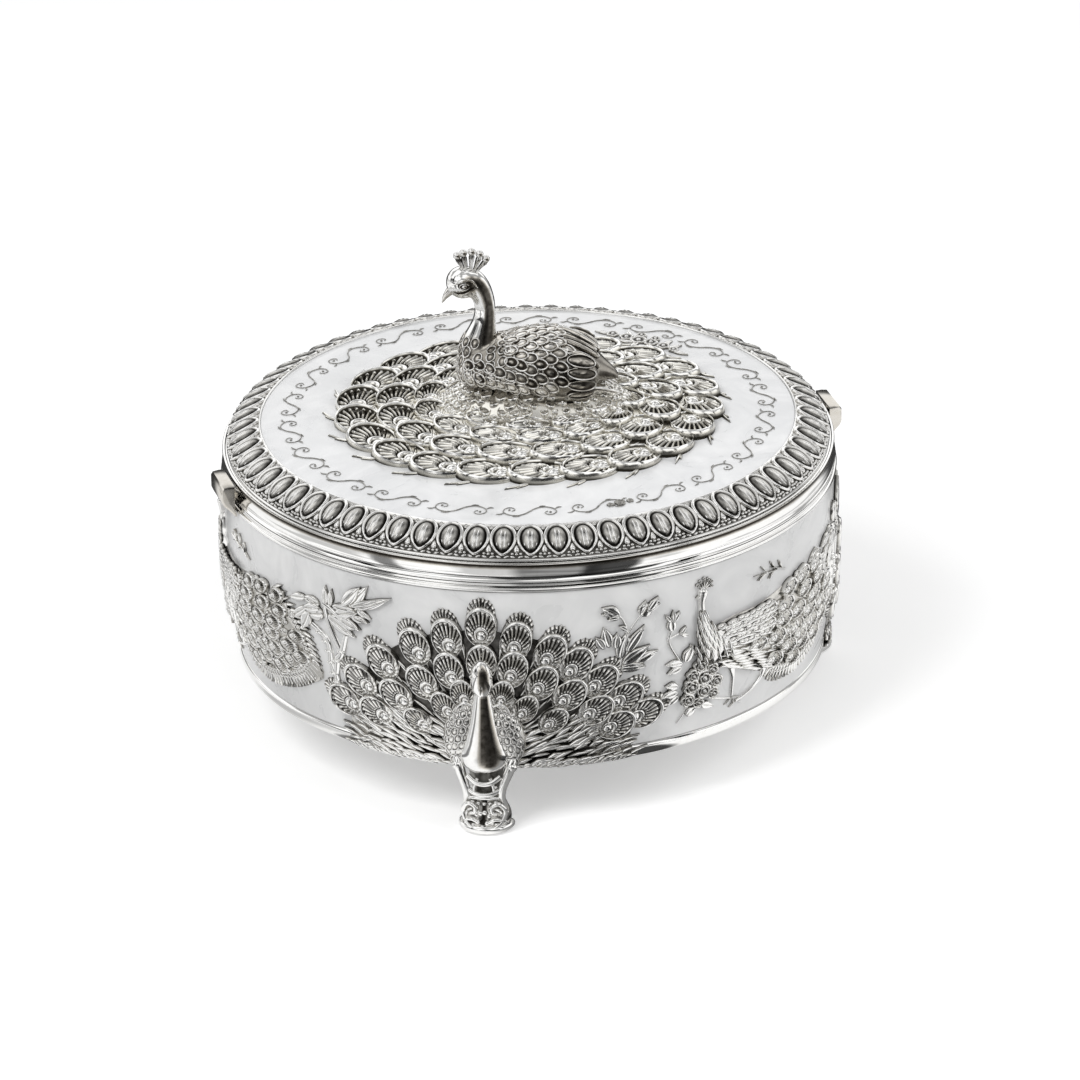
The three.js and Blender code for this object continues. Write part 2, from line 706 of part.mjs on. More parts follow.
// One of the two slats that cross in the tray, halved into each other: the slot is in the upper or the
// lower half.
function divider(slotInUpperHalf) {
  const wallInside = metalRadius(TRAY_FOOT) - BOX.wall - TRAY.play - TRAY.wall - TRAY.lip;
  const half = wallInside * Math.cos(Math.PI / SIDES) - FIT;
  const foot = TRAY_FOOT + TRAY.floor + FIT;
  const head = TRAY_HEAD - DIVIDER.drop;
  const slot = DIVIDER.thickness / 2 + FIT;
  const middle = (foot + head) / 2;
  const outline = new THREE.Shape();
  outline.moveTo(-half, foot);
  if (!slotInUpperHalf) {
    outline.lineTo(-slot, foot);
    outline.lineTo(-slot, middle + FIT / 2);
    outline.lineTo(slot, middle + FIT / 2);
    outline.lineTo(slot, foot);
  }
  outline.lineTo(half, foot);
  outline.lineTo(half, head);
  if (slotInUpperHalf) {
    outline.lineTo(slot, head);
    outline.lineTo(slot, middle - FIT / 2);
    outline.lineTo(-slot, middle - FIT / 2);
    outline.lineTo(-slot, head);
  }
  outline.lineTo(-half, head);
  const geometry = new THREE.ExtrudeGeometry(outline, { depth: DIVIDER.thickness, bevelEnabled: false });
  geometry.translate(0, 0, -DIVIDER.thickness / 2);
  geometry.rotateX(Math.PI / 2);
  if (!slotInUpperHalf) geometry.rotateZ(Math.PI / 2);
  return solidOf(geometry);
}

// Lid
const PANEL_SHARES = [0.35, 0.7, 1];

function panelLevels(edge, drop) {
  const bore = KNOB_SCREW.shaft + KNOB_SCREW.play;
  const radii = [bore, ...PANEL_SHARES.map((share) => share * edge)];
  return radii.map((radius) => [radius, panelHeight(radius) - drop]);
}

function lidPan() {
  const drop = LID.enamel + FIT;
  const top = panelLevels(PANEL_RADIUS, drop);
  const under = panelLevels(PANEL_RADIUS, drop + LID.sheet).reverse();
  const skirtFoot = BOX.parting - LID.skirt;
  const inner = SKIRT - LID.sheet;
  return turned([
    ...top,
    [SKIRT, BOX.parting],
    [SKIRT, skirtFoot],
    [inner, skirtFoot],
    [inner, BOX.parting - LID.sheet / 2],
    ...under,
  ]);
}

function lidPanel() {
  const top = panelLevels(PANEL_RADIUS - FIT, 0);
  const under = panelLevels(PANEL_RADIUS - FIT, LID.enamel).reverse();
  return turned([...top, ...under]);
}

// Profile of the egg-and-dart ring from the panel's edge out: [turn of the quarter round in degrees,
// bulge share].
const EGG_SHARES = [
  [0, 0],
  [22, 1],
  [56, 0.55],
  [90, 0],
];

function eggRing() {
  const beadHead = LID_FOOT + LID.bead;
  const seat = SKIRT + FIT;
  const loops = Array.from({ length: 2 * EGGS.count }, (_, i) => {
    const azimuth = (360 * i) / (2 * EGGS.count);
    const swell = i % 2 ? EGGS.bulge : -EGGS.groove;
    const front = EGG_SHARES.map(([angle, share]) => {
      const turn = THREE.MathUtils.degToRad(angle);
      const out = (LID_RADIUS - PANEL_RADIUS + swell * share) * Math.sin(turn);
      const up = (PANEL_EDGE - beadHead + swell * share) * Math.cos(turn);
      return polar(azimuth, PANEL_RADIUS + out, beadHead + up);
    });
    return [
      ...front,
      polar(azimuth, LID_RADIUS, LID_FOOT),
      polar(azimuth, seat, LID_FOOT),
      polar(azimuth, PANEL_RADIUS, PANEL_EDGE - LID.enamel + FIT),
    ];
  });
  return skinned(loops, true);
}

// The mound under the rosette's feathers, round its section: [place from its eye to the tips, lift].
const MOUND_SHARES = [
  [0, 0],
  [0, 1],
  [0.33, 1],
  [0.45, 0.72],
  [0.64, 0.5],
  [0.78, 0.34],
  [0.92, 0.2],
  [0.95, 0],
  [0.5, 0],
];

// A feather of a ring, from its root to its tip: [place along it, half width, rise].
const FEATHER_SHARES = [
  [0.02, 0.36, 0.1],
  [0.5, 0.5, 0.6],
  [0.94, 0.38, 1],
];
const FEATHER_EDGE_SHARE = 0.72; // height of a feather's edges beside its middle

// A place on the rosette, which is a little longer along the bird than across it.
function onRosette(azimuth, radius, lift) {
  const at = polar(azimuth, radius, 0);
  return onPanel(ROSETTE.stretch * at.x, at.y, lift);
}

function rosetteMound() {
  const reach = ROSETTE.tip - ROSETTE.inner;
  const loops = Array.from({ length: ROSETTE.spokes }, (_, i) =>
    MOUND_SHARES.map(([place, lift]) =>
      onRosette((360 * i) / ROSETTE.spokes, ROSETTE.inner + reach * place, ROSETTE.relief * lift),
    ),
  );
  return skinned(loops, true);
}

// A ring of feathers that overlap like tiles and point clockwise, seen from above: each rises from its
// root to its tip.
function rosetteRing({ feathers: count, middleShare, widthShare, liftShare }) {
  const feather = (i) =>
    FEATHER_SHARES.map(([along, half, rise]) => {
      const top = ROSETTE.relief * liftShare - ROSETTE.step * (1 - rise);
      const point = (side, lift) => {
        const radius = ROSETTE.tip * (middleShare + side * half * widthShare);
        return onRosette((-360 * (i + along)) / count, radius, lift);
      };
      return [
        point(-1, ROSETTE.ringFoot),
        point(-1, top * FEATHER_EDGE_SHARE),
        point(0, top),
        point(1, top * FEATHER_EDGE_SHARE),
        point(1, ROSETTE.ringFoot),
      ];
    });
  return skinned(Array.from({ length: count }, (_, i) => feather(i)).flat(), true);
}

function featherRosette() {
  return joined([rosetteMound(), ...ROSETTE_RINGS.map(rosetteRing)]);
}

// A winding vine round the panel with a curl in each of its outer bends.
function scrollBorder() {
  const bends = 2 * SCROLLS.waves;
  const place = (turn, radius) => {
    const at = polar(turn, radius, 0);
    return [at.x, at.y, SCROLLS.halfWidth];
  };
  const vine = Array.from({ length: 2 * bends }, (_, i) => {
    const swing = SCROLLS.swing * Math.sin((i * Math.PI) / 2);
    return place((360 * i) / (2 * bends), SCROLL_RADIUS + swing);
  });
  const bend = 360 / bends;
  const crest = SCROLL_RADIUS + SCROLLS.swing;
  const curls = Array.from({ length: SCROLLS.waves }, (_, i) => {
    const start = bend * (2 * i + 0.5);
    const stations = [
      place(start, crest),
      place(start + bend * 0.3, crest),
      place(start + bend * 0.42, crest - SCROLLS.curl),
      place(start + bend * 0.2, crest - SCROLLS.curl),
    ];
    return strip(onPanel, stations, SCROLLS.relief * 0.9, { steps: 3 });
  });
  return joined([strip(onPanel, vine, SCROLLS.relief, { steps: 2 * bends, ring: true }), ...curls]);
}

function lidSpray() {
  const centre = polar(SPRAY.azimuth, SPRAY_RADIUS, 0);
  const spots = [-1, 0, 1].map((side) => {
    const turn = THREE.MathUtils.radToDeg((side * SPRAY.blossomRadius * 1.26) / SPRAY_RADIUS);
    const out = SPRAY_RADIUS - Math.abs(side) * SPRAY.blossomRadius * 0.5;
    const at = polar(SPRAY.azimuth + turn, out, 0);
    return blossom(onPanel, at.x, at.y, SPRAY.blossomRadius, SPRAY.relief);
  });
  const slant = THREE.MathUtils.radToDeg(SPRAY.blossomRadius / SPRAY_RADIUS);
  const foot = polar(SPRAY.azimuth + slant, SPRAY_RADIUS - SPRAY.stemLength, 0);
  const half = SPRAY.blossomRadius / 3;
  const middle = [(centre.x + foot.x) / 2, (centre.y + foot.y) / 2, half];
  const stem = strip(onPanel, [[centre.x, centre.y, half], middle, [foot.x, foot.y, half]], SPRAY.relief / 2);
  return joined([stem, ...spots]);
}

// Knob bird. Places are [x, height] as shares of the bird's length and height, from its middle and its base,
// and half sizes are shares of its width.
const BODY_SHARES = [
  [-0.46, 0.22, 0.06, 0.06],
  [-0.41, 0.21, 0.24, 0.22],
  [-0.31, 0.21, 0.37, 0.34],
  [-0.17, 0.22, 0.44, 0.44],
  [0, 0.225, 0.46, 0.5],
  [0.14, 0.22, 0.45, 0.5],
  [0.27, 0.2, 0.4, 0.44],
  [0.4, 0.17, 0.29, 0.31],
  [0.5, 0.15, 0.17, 0.17],
  [0.55, 0.13, 0.05, 0.05],
];
const NECK_SHARES = [
  [-0.28, 0.22, 0.28],
  [-0.31, 0.32, 0.24],
  [-0.305, 0.4, 0.19],
  [-0.28, 0.49, 0.14],
  [-0.262, 0.6, 0.112],
  [-0.275, 0.69, 0.115],
  [-0.32, 0.75, 0.14],
];
const HEAD_SHARES = { x: -0.38, z: 0.745, long: 0.19, wide: 0.14, high: 0.155 };
const BEAK_SHARES = { root: [-0.44, 0.72], tip: [-0.535, 0.64], radius: 0.075 };
const WING_SHARES = { x: 0.15, y: 0.36, z: 0.26, long: 0.6, wide: 0.18, high: 0.33 };
const CREST_SHARES = {
  root: [-0.35, 0.8],
  balls: [-0.425, -0.38, -0.33, -0.28, -0.245],
  rise: [0.935, 0.955, 0.962, 0.945, 0.915],
};
const BIRD_BASE = panelHeight(0) + ROSETTE.relief + 2 * FIT;

function birdPoint([x, z], y = 0) {
  return new THREE.Vector3(x * BIRD.length, y, BIRD_BASE + z * BIRD.height);
}

function knobPeacock() {
  const along = (size) => new THREE.Vector3(0, 0, size * BIRD.depth);
  const aside = (size) => new THREE.Vector3(0, size * BIRD.width, 0);
  const body = ovals(
    BODY_SHARES.map(([x, z, high, wide]) => ({ centre: birdPoint([x, z]), wide: aside(wide), deep: along(high) })),
  );
  const neck = ovals(
    NECK_SHARES.map(([x, z, half], i) => {
      const last = NECK_SHARES.length - 1;
      const before = birdPoint(NECK_SHARES[Math.max(0, i - 1)]);
      const after = birdPoint(NECK_SHARES[Math.min(last, i + 1)]);
      const way = after.sub(before).normalize();
      const deep = new THREE.Vector3(way.z, 0, -way.x).multiplyScalar(half * BIRD.width);
      return { centre: birdPoint([x, z]), wide: aside(half * 0.9), deep };
    }),
    SMALL_SIDES - 2,
  );
  const size = (share) => share * BIRD.width;
  const { x, z, long, wide, high } = HEAD_SHARES;
  const head = ball(birdPoint([x, z]), new THREE.Vector3(size(long), size(wide), size(high)), 20);
  const beak = rod(birdPoint(BEAK_SHARES.root), birdPoint(BEAK_SHARES.tip), size(BEAK_SHARES.radius), FIT);
  const wings = [-1, 1].map((side) => {
    const centre = birdPoint([WING_SHARES.x, WING_SHARES.z], side * size(WING_SHARES.y));
    return ball(centre, new THREE.Vector3(size(WING_SHARES.long), size(WING_SHARES.wide), size(WING_SHARES.high)), 14);
  });
  const crest = CREST_SHARES.balls.flatMap((place, i) => {
    const top = birdPoint([place, CREST_SHARES.rise[i]]);
    const radii = new THREE.Vector3(BIRD.crestBall, BIRD.crestBall, BIRD.crestBall);
    return [rod(birdPoint(CREST_SHARES.root), top, BIRD.stalk), ball(top, radii, 0, 6)];
  });
  const under = new THREE.BoxGeometry(2 * BIRD.length, 2 * BIRD.width, BIRD.height);
  under.translate(0, 0, BIRD_BASE - BIRD.height / 2);
  const thread = turned(
    [
      [0, BIRD_BASE - OVERRUN],
      [KNOB_SCREW.shaft + KNOB_SCREW.play, BIRD_BASE - OVERRUN],
      [KNOB_SCREW.shaft + KNOB_SCREW.play, knobScrewHead() + KNOB_SCREW.length + KNOB_SCREW.recess],
      [0, knobScrewHead() + KNOB_SCREW.length + KNOB_SCREW.recess],
    ],
    SMALL_SIDES,
  );
  return joined([body, neck, head, beak, ...wings, ...crest]).subtract(solidOf(under)).subtract(thread);
}

// The level of the knob screw's head under its washer.
function knobScrewHead() {
  return washerFoot() - FIT;
}

function washerFoot() {
  const bore = KNOB_SCREW.shaft + KNOB_SCREW.play;
  const sheetUnder = panelHeight(WASHER.radius) - LID.enamel - FIT - LID.sheet;
  return Math.min(sheetUnder, panelHeight(bore)) - FIT - WASHER.thickness;
}

function knobScrew() {
  const head = knobScrewHead();
  return turned(
    [
      [0, head - KNOB_SCREW.headHeight],
      [KNOB_SCREW.head, head - KNOB_SCREW.headHeight],
      [KNOB_SCREW.head, head],
      [KNOB_SCREW.shaft, head],
      [KNOB_SCREW.shaft, head + KNOB_SCREW.length],
      [0, head + KNOB_SCREW.length],
    ],
    SMALL_SIDES,
  );
}

function knobWasher() {
  const bore = KNOB_SCREW.shaft + KNOB_SCREW.play;
  const foot = washerFoot();
  return turned(
    [
      [bore, foot],
      [WASHER.radius, foot],
      [WASHER.radius, foot + WASHER.thickness],
      [bore, foot + WASHER.thickness],
    ],
    SMALL_SIDES,
  );
}

// Assembly
const box = new THREE.Group();

function place(name, solid, material, azimuth = 0) {
  const mesh = new THREE.Mesh(geometryOf(solid), material);
  mesh.name = name;
  mesh.rotation.z = THREE.MathUtils.degToRad(azimuth);
  box.add(mesh);
}

place("drum_wall", drumWall(), silver);
place("drum_floor", drumFloor(), silver);
place("bottom_rim", bottomRim(), silver);
place("side_enamel", wallEnamel(), sideEnamel);
place("belt_moulding", beltMoulding(), silver);
place("rim_band", rimBand(), silver);
for (const [name, azimuth] of Object.entries(LUG_AZIMUTHS)) place(name, lug(), silver, azimuth);

const sectorPieces = {
  foot: [peacockFoot(), castSilver],
  foot_screw: [footScrew(), steel],
  feather_fan: [featherFan(), castSilver],
  walking_peacock: [walkingPeacock(), castSilver],
  bamboo: [plant(BAMBOO_SHARES), castSilver],
  leafy_branch: [plant(BRANCH_SHARES), castSilver],
  peony_spray: [peonySpray(), castSilver],
};
for (const [side, azimuth] of Object.entries(FOOT_AZIMUTHS)) {
  for (const [name, [solid, material]] of Object.entries(sectorPieces)) {
    place(`${name}_${side}`, solid, material, azimuth);
  }
}

place("tray_pan", trayPan(), trayMetal);
place("tray_divider_long", divider(true), trayMetal);
place("tray_divider_cross", divider(false), trayMetal);

place("lid_pan", lidPan(), silver);
place("lid_enamel", lidPanel(), lidEnamel);
place("egg_ring", eggRing(), silver);
place("feather_rosette", featherRosette(), castSilver);
place("scroll_border", scrollBorder(), castSilver);
place("lid_spray", lidSpray(), castSilver);
place("knob_peacock", knobPeacock(), castSilver);
place("knob_washer", knobWasher(), steel);
place("knob_screw", knobScrew(), steel);

export default box;
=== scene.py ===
"""The looks of a round peacock dry fruit box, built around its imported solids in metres, +Z up."""

import logging
import math
from dataclasses import dataclass, field
from enum import Enum
from functools import cached_property
from typing import Callable, Iterable, Sequence

import bpy
import numpy as np
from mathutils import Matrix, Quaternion, Vector
from mathutils.bvhtree import BVHTree


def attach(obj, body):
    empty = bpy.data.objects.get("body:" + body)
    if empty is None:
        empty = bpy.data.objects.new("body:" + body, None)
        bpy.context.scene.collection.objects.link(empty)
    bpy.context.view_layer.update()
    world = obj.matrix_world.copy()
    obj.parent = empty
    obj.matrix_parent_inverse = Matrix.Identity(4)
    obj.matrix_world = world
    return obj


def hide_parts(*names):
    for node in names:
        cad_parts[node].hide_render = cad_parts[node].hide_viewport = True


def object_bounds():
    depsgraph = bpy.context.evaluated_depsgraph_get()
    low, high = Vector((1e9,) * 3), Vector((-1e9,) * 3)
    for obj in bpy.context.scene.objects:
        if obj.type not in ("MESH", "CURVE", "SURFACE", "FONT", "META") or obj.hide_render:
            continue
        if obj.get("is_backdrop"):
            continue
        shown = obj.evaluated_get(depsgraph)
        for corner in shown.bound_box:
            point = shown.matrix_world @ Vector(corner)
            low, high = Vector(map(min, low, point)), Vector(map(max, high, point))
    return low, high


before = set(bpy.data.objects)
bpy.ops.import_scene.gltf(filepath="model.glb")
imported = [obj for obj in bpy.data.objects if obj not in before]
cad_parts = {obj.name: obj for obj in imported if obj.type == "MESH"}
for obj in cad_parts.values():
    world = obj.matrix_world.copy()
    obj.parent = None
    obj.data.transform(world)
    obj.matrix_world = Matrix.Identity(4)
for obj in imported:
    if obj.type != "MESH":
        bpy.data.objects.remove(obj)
CAD_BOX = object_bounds()

LOG = logging.getLogger("peacock_box")
MM = 0.001

# The shapes of the wall, of the lid's panel and of its border, in millimetres

DRUM_RADIUS = 142.0
ENAMEL_FOOT = 36.0
WIDEST_AT = 95.0
PANEL_RADIUS = 124.2
PANEL_EDGE_HEIGHT = 144.4
PANEL_RISE = 3.5
BORDER_FOOT = 134.9
BORDER_WIDTH = 15.3
BORDER_RISE = 9.3
BORDER_LENGTH = 20.4
BORDER_RADIUS = 132.0

Points = np.ndarray
Ground = Callable[[Points], Points]
Outline = Callable[[Points, Points], tuple[Points | float, Points | float]]
Obj = bpy.types.Object
Socket = bpy.types.NodeSocket
Place = tuple[float, float, float]
Flat = tuple[float, float]
Row = tuple[float, float, float, float]
Colour = tuple[float, float, float]
Value = Socket | float | tuple[float, ...]
Cone = tuple[float, float, float, float, float]


class Body(Enum):
    """The bodies that pieces ride on."""

    BOX = "box"
    TRAY = "tray"
    LID = "lid"


class Slot(Enum):
    """The material slots."""

    SILVER = "silver_plate"
    CAST = "cast_silver"
    SIDE_ENAMEL = "side_enamel"
    LID_ENAMEL = "lid_enamel"
    STEEL = "steel"
    TRAY = "tray_metal"


class Sector(Enum):
    """The three equal sectors of the drum, each at the azimuth of its foot in degrees."""

    FRONT = -9.3
    RIGHT = 110.7
    LEFT = -129.3


# Finishes


class Graph:
    """The node tree of a material or of the world, with short calls to add and join nodes."""

    def __init__(self, holder: bpy.types.Material | bpy.types.World) -> None:
        """Empties the tree and adds its coordinates.

        Args:
            holder: the material or the world.
        """
        holder.use_nodes = True
        self.holder = holder
        self.tree = holder.node_tree
        self.tree.nodes.clear()
        self.place = self.add("TexCoord").outputs

    def add(
        self, kind: str, inputs: dict[str | int, Value] | None = None, **settings: object
    ) -> bpy.types.Node:
        """Adds one node.

        Args:
            kind: the node's type, after the words ShaderNode.
            inputs: a value or another node's output for each input.
            **settings: attributes of the node.

        Returns:
            The node.
        """
        node = self.tree.nodes.new("ShaderNode" + kind)
        for name, value in settings.items():
            setattr(node, name, value)
        for name, value in (inputs or {}).items():
            if isinstance(value, bpy.types.NodeSocket):
                self.tree.links.new(value, node.inputs[name])
            else:
                node.inputs[name].default_value = value
        return node

    def math(self, operation: str, first: Value, second: Value, clamp: bool = False) -> Socket:
        """Joins two values by arithmetic."""
        return self.add("Math", {0: first, 1: second}, operation=operation, use_clamp=clamp).outputs["Value"]

    def mix(self, share: Value, first: Value, second: Value) -> Socket:
        """Mixes two values, the second one's share given."""
        return self.add("Mix", {"Factor": share, "A": first, "B": second}).outputs["Result"]

    def noise(
        self, scale: float, detail: float = 3.0, distortion: float = 0.0, at: Socket | None = None
    ) -> Socket:
        """Adds noise.

        Args:
            scale: cells per metre.
            detail: octaves.
            distortion: how far the cells are swirled.
            at: the coordinates, without it the object's own.

        Returns:
            Its level.
        """
        where = self.place["Object"] if at is None else at
        inputs = {"Vector": where, "Scale": scale, "Detail": detail, "Distortion": distortion}
        return self.add("TexNoise", inputs).outputs["Fac"]

    def ramp(self, source: Socket, stops: Sequence[tuple[float, Colour]]) -> Socket:
        """Colours a value by stops.

        Args:
            source: the value.
            stops: places from 0 to 1 with their colours.

        Returns:
            The colour.
        """
        node = self.add("ValToRGB", {"Fac": source})
        elements = node.color_ramp.elements
        while len(elements) < len(stops):
            elements.new(0.5)
        for element, (at, colour) in zip(elements, stops):
            element.position = at
            element.color = (*colour, 1.0)
        return node.outputs["Color"]

    def span(
        self, source: Socket, low: float, high: float, to_low: float, to_high: float, curve: str = "LINEAR"
    ) -> Socket:
        """Maps a value's range onto another.

        Args:
            source: the value.
            low: what becomes to_low.
            high: what becomes to_high.
            to_low: the first new value.
            to_high: the last new value.
            curve: how it goes from the first to the last.

        Returns:
            The new value.
        """
        names = ("Value", "From Min", "From Max", "To Min", "To Max")
        inputs = dict(zip(names, (source, low, high, to_low, to_high)))
        return self.add("MapRange", inputs, interpolation_type=curve).outputs["Result"]

    def bump(self, height: Socket, depth_mm: float) -> Socket:
        """A bump's normal, from its height and its depth in millimetres."""
        inputs = {"Strength": 1.0, "Distance": depth_mm * MM, "Height": height}
        return self.add("Bump", inputs).outputs["Normal"]

    def shaded(self, inputs: dict[str, Value]) -> bpy.types.Material:
        """Ends a material with its shader.

        Args:
            inputs: the shader's inputs.

        Returns:
            The material.
        """
        shader = self.add("BsdfPrincipled", inputs)
        self.add("OutputMaterial", {"Surface": shader.outputs["BSDF"]})
        return self.holder


@dataclass(frozen=True)
class SilverFinish:
    """Silver plate: bright on what stands proud, warm, darker and duller in the hollows, where patina and
    painted shade are stored.
    """

    name: str
    # From bright to deep the colours paint patina together with painted shade and painted reflections.
    bright: Colour = (0.93, 0.925, 0.91)
    mid: Colour = (0.62, 0.585, 0.525)
    deep: Colour = (0.035, 0.03, 0.024)
    gloss: float = 0.07
    dull: float = 0.34
    wave_mm: float = 0.02
    waves_per_metre: float = 160.0
    stain: float = 0.2

    def material(self) -> bpy.types.Material:
        """Builds the node material.

        Returns:
            The material.
        """
        graph = Graph(bpy.data.materials.new(self.name))
        # The stored marks carry patina, painted shade and painted reflections; the noise adds real stains.
        recess = graph.add("Attribute", attribute_name="recess").outputs["Fac"]
        inputs = {0: graph.noise(420.0, 4.0, 0.4), 1: self.stain, 2: recess}
        stain_and_shade = graph.add("Math", inputs, operation="MULTIPLY_ADD").outputs["Value"]
        shade = graph.math("SUBTRACT", stain_and_shade, self.stain / 2, clamp=True)
        return graph.shaded({
            "Base Color": graph.ramp(shade, ((0.0, self.bright), (0.35, self.mid), (0.85, self.deep))),
            "Roughness": graph.span(shade, 0.0, 1.0, self.gloss, self.dull), "Metallic": 1.0,
            "Normal": graph.bump(graph.noise(self.waves_per_metre, 2.0), self.wave_mm),
        })


@dataclass(frozen=True)
class EnamelFinish:
    """Pearly enamel: soft swirls of two pale greys under a clear gloss."""

    name: str
    pale: Colour
    grey: Colour
    gloss: float = 0.3

    def material(self) -> bpy.types.Material:
        """Builds the node material.

        Returns:
            The material.
        """
        graph = Graph(bpy.data.materials.new(self.name))
        swirl, veil = graph.noise(26.0, 5.0, 2.6), graph.noise(9.0, 3.0, 1.2)
        middle = tuple((a + b) / 2 for a, b in zip(self.pale, self.grey))
        return graph.shaded({
            "Base Color": graph.ramp(
                graph.mix(0.4, swirl, veil), ((0.3, self.grey), (0.5, middle), (0.68, self.pale))
            ),
            "Roughness": graph.span(swirl, 0.3, 0.7, self.gloss - 0.06, self.gloss + 0.08),
            "Coat Weight": 0.55, "Coat Roughness": 0.12,
            "Normal": graph.bump(graph.noise(55.0, 3.0, 1.0), 0.03),
        })


@dataclass(frozen=True)
class BrushedFinish:
    """Plain metal with fine lines from its last polish."""

    name: str
    colour: Colour
    roughness: float

    def material(self) -> bpy.types.Material:
        """Builds the node material.

        Returns:
            The material.
        """
        graph = Graph(bpy.data.materials.new(self.name))
        stretch = graph.add("Mapping", {"Scale": (1.0, 1.0, 0.06), "Vector": graph.place["Object"]})
        lines = graph.noise(900.0, 2.0, at=stretch.outputs["Vector"])
        darker = tuple(0.86 * part for part in self.colour)
        return graph.shaded({
            "Base Color": graph.ramp(lines, ((0.3, darker), (0.7, self.colour))),
            "Roughness": graph.span(lines, 0.2, 0.8, self.roughness - 0.05, self.roughness + 0.08),
            "Metallic": 1.0, "Normal": graph.bump(lines, 0.01),
        })


def heading(azimuth: float, elevation: float) -> Place:
    """Gives the direction at an azimuth from the front and an elevation, in degrees.

    Args:
        azimuth: to the right of the front.
        elevation: above the floor.

    Returns:
        The direction, of length one.
    """
    turn, rise = math.radians(azimuth), math.radians(elevation)
    return (math.sin(turn) * math.cos(rise), -math.cos(turn) * math.cos(rise), math.sin(rise))


def dark_cones(graph: Graph, way: Socket, cones: Iterable[Cone]) -> Value:
    """Darkens the surround of the mirrors in cones of directions.

    Args:
        graph: the nodes.
        way: the unit direction seen.
        cones: azimuth, elevation, inner and outer half angle in degrees, and level of each.

    Returns:
        The level, 1 outside all cones.
    """
    level: Value = 1.0
    for azimuth, elevation, inner, outer, dark in cones:
        near = graph.add("VectorMath", {0: way, 1: heading(azimuth, elevation)}, operation="DOT_PRODUCT")
        sides = (math.cos(math.radians(outer)), math.cos(math.radians(inner)), 1.0, dark)
        level = graph.math("MULTIPLY", level, graph.span(near.outputs["Value"], *sides, curve="SMOOTHSTEP"))
    return level


@dataclass(frozen=True)
class PaintFinish:
    """A painted surface of the studio; lift adds to what the camera sees, flags darken what mirrors see."""

    name: str
    value: float
    lift: float = 0.0
    flags: float = 0.0
    cones: tuple[Cone, ...] = ()
    flag_edge: Row = (0.41, 0.49, 0.5, 0.88)
    far_edge: Row = (-1.15, -0.75, 0.05, 1.0)

    def material(self) -> bpy.types.Material:
        """Builds the node material.

        Returns:
            The material.
        """
        graph = Graph(bpy.data.materials.new(self.name))
        white, place = (self.value, self.value, self.value), graph.place["Object"]
        inputs: dict[str, Value] = {"Base Color": (*white, 1.0), "Roughness": 0.9, "Specular IOR Level": 0.0}
        if self.lift:
            ray = graph.add("LightPath").outputs
            patches = graph.span(graph.noise(self.flags, 1.0), *self.flag_edge)
            room = graph.span(graph.add("SeparateXYZ", {0: place}).outputs["Y"], *self.far_edge)
            way = graph.add("VectorMath", {0: place}, operation="NORMALIZE").outputs["Vector"]
            level = graph.math("MULTIPLY", patches, room)
            level = graph.math("MULTIPLY", level, dark_cones(graph, way, self.cones))
            mirrored = graph.mix(ray["Is Glossy Ray"], 1.0, level)
            seen = graph.math("ADD", ray["Is Camera Ray"], ray["Is Glossy Ray"], clamp=True)
            seen = graph.math("ADD", seen, ray["Is Transmission Ray"], clamp=True)
            inputs["Base Color"] = graph.ramp(mirrored, ((0.0, (0.02, 0.02, 0.02)), (1.0, white)))
            inputs["Emission Color"] = (1.0, 1.0, 1.0, 1.0)
            glow = graph.math("MULTIPLY", seen, self.lift)
            inputs["Emission Strength"] = graph.math("MULTIPLY", glow, mirrored)
        return graph.shaded(inputs)


@dataclass
class Palette:
    """Every material of the box, built once."""

    polished: bpy.types.Material = field(default_factory=SilverFinish("silver_plate_polished").material)
    cast: bpy.types.Material = field(
        default_factory=SilverFinish(
            "cast_silver_plate", mid=(0.66, 0.645, 0.61), deep=(0.024, 0.022, 0.019), gloss=0.12, dull=0.36,
            wave_mm=0.01, waves_per_metre=420.0,
        ).material
    )
    warm: bpy.types.Material = field(
        default_factory=SilverFinish(
            "warm_silver_plate", bright=(0.96, 0.955, 0.935), mid=(0.78, 0.755, 0.685),
            deep=(0.04, 0.036, 0.028), gloss=0.12, dull=0.4, wave_mm=0.01, waves_per_metre=420.0,
        ).material
    )
    side_enamel: bpy.types.Material = field(
        default_factory=EnamelFinish("side_pearl_enamel", (0.74, 0.74, 0.735), (0.57, 0.572, 0.572)).material
    )
    lid_enamel: bpy.types.Material = field(
        default_factory=EnamelFinish("lid_pearl_enamel", (0.88, 0.882, 0.885), (0.65, 0.657, 0.667)).material
    )
    steel: bpy.types.Material = field(
        default_factory=BrushedFinish("bright_steel", (0.62, 0.62, 0.61), 0.28).material
    )
    tray: bpy.types.Material = field(
        default_factory=BrushedFinish("tray_satin_silver", (0.80, 0.79, 0.77), 0.26).material
    )


# Bench work


def spun(points: Points, degrees: float) -> Points:
    """Turns points round the Z axis.

    Args:
        points: the points.
        degrees: how far, counterclockwise.

    Returns:
        The turned points.
    """
    angle = math.radians(degrees)
    x = points[:, 0] * math.cos(angle) - points[:, 1] * math.sin(angle)
    y = points[:, 0] * math.sin(angle) + points[:, 1] * math.cos(angle)
    return np.column_stack((x, y, points[:, 2]))


def curved(points: Sequence[Sequence[float]], count: int) -> Points:
    """A smooth curve through points.

    Args:
        points: what it passes through.
        count: how many points it gets.

    Returns:
        The curve's points.
    """
    knots = np.array(points, float)
    padded = np.vstack((2 * knots[0] - knots[1], knots, 2 * knots[-1] - knots[-2]))
    found = []
    for t in np.linspace(0, len(knots) - 1, count):
        i = min(int(t), len(knots) - 2)
        s = t - i
        a, b, c, d = padded[i : i + 4]
        found.append(
            0.5 * (2 * b + (c - a) * s + (2 * a - 5 * b + 4 * c - d) * s**2 + (3 * b - a - 3 * c + d) * s**3)
        )
    return np.array(found)


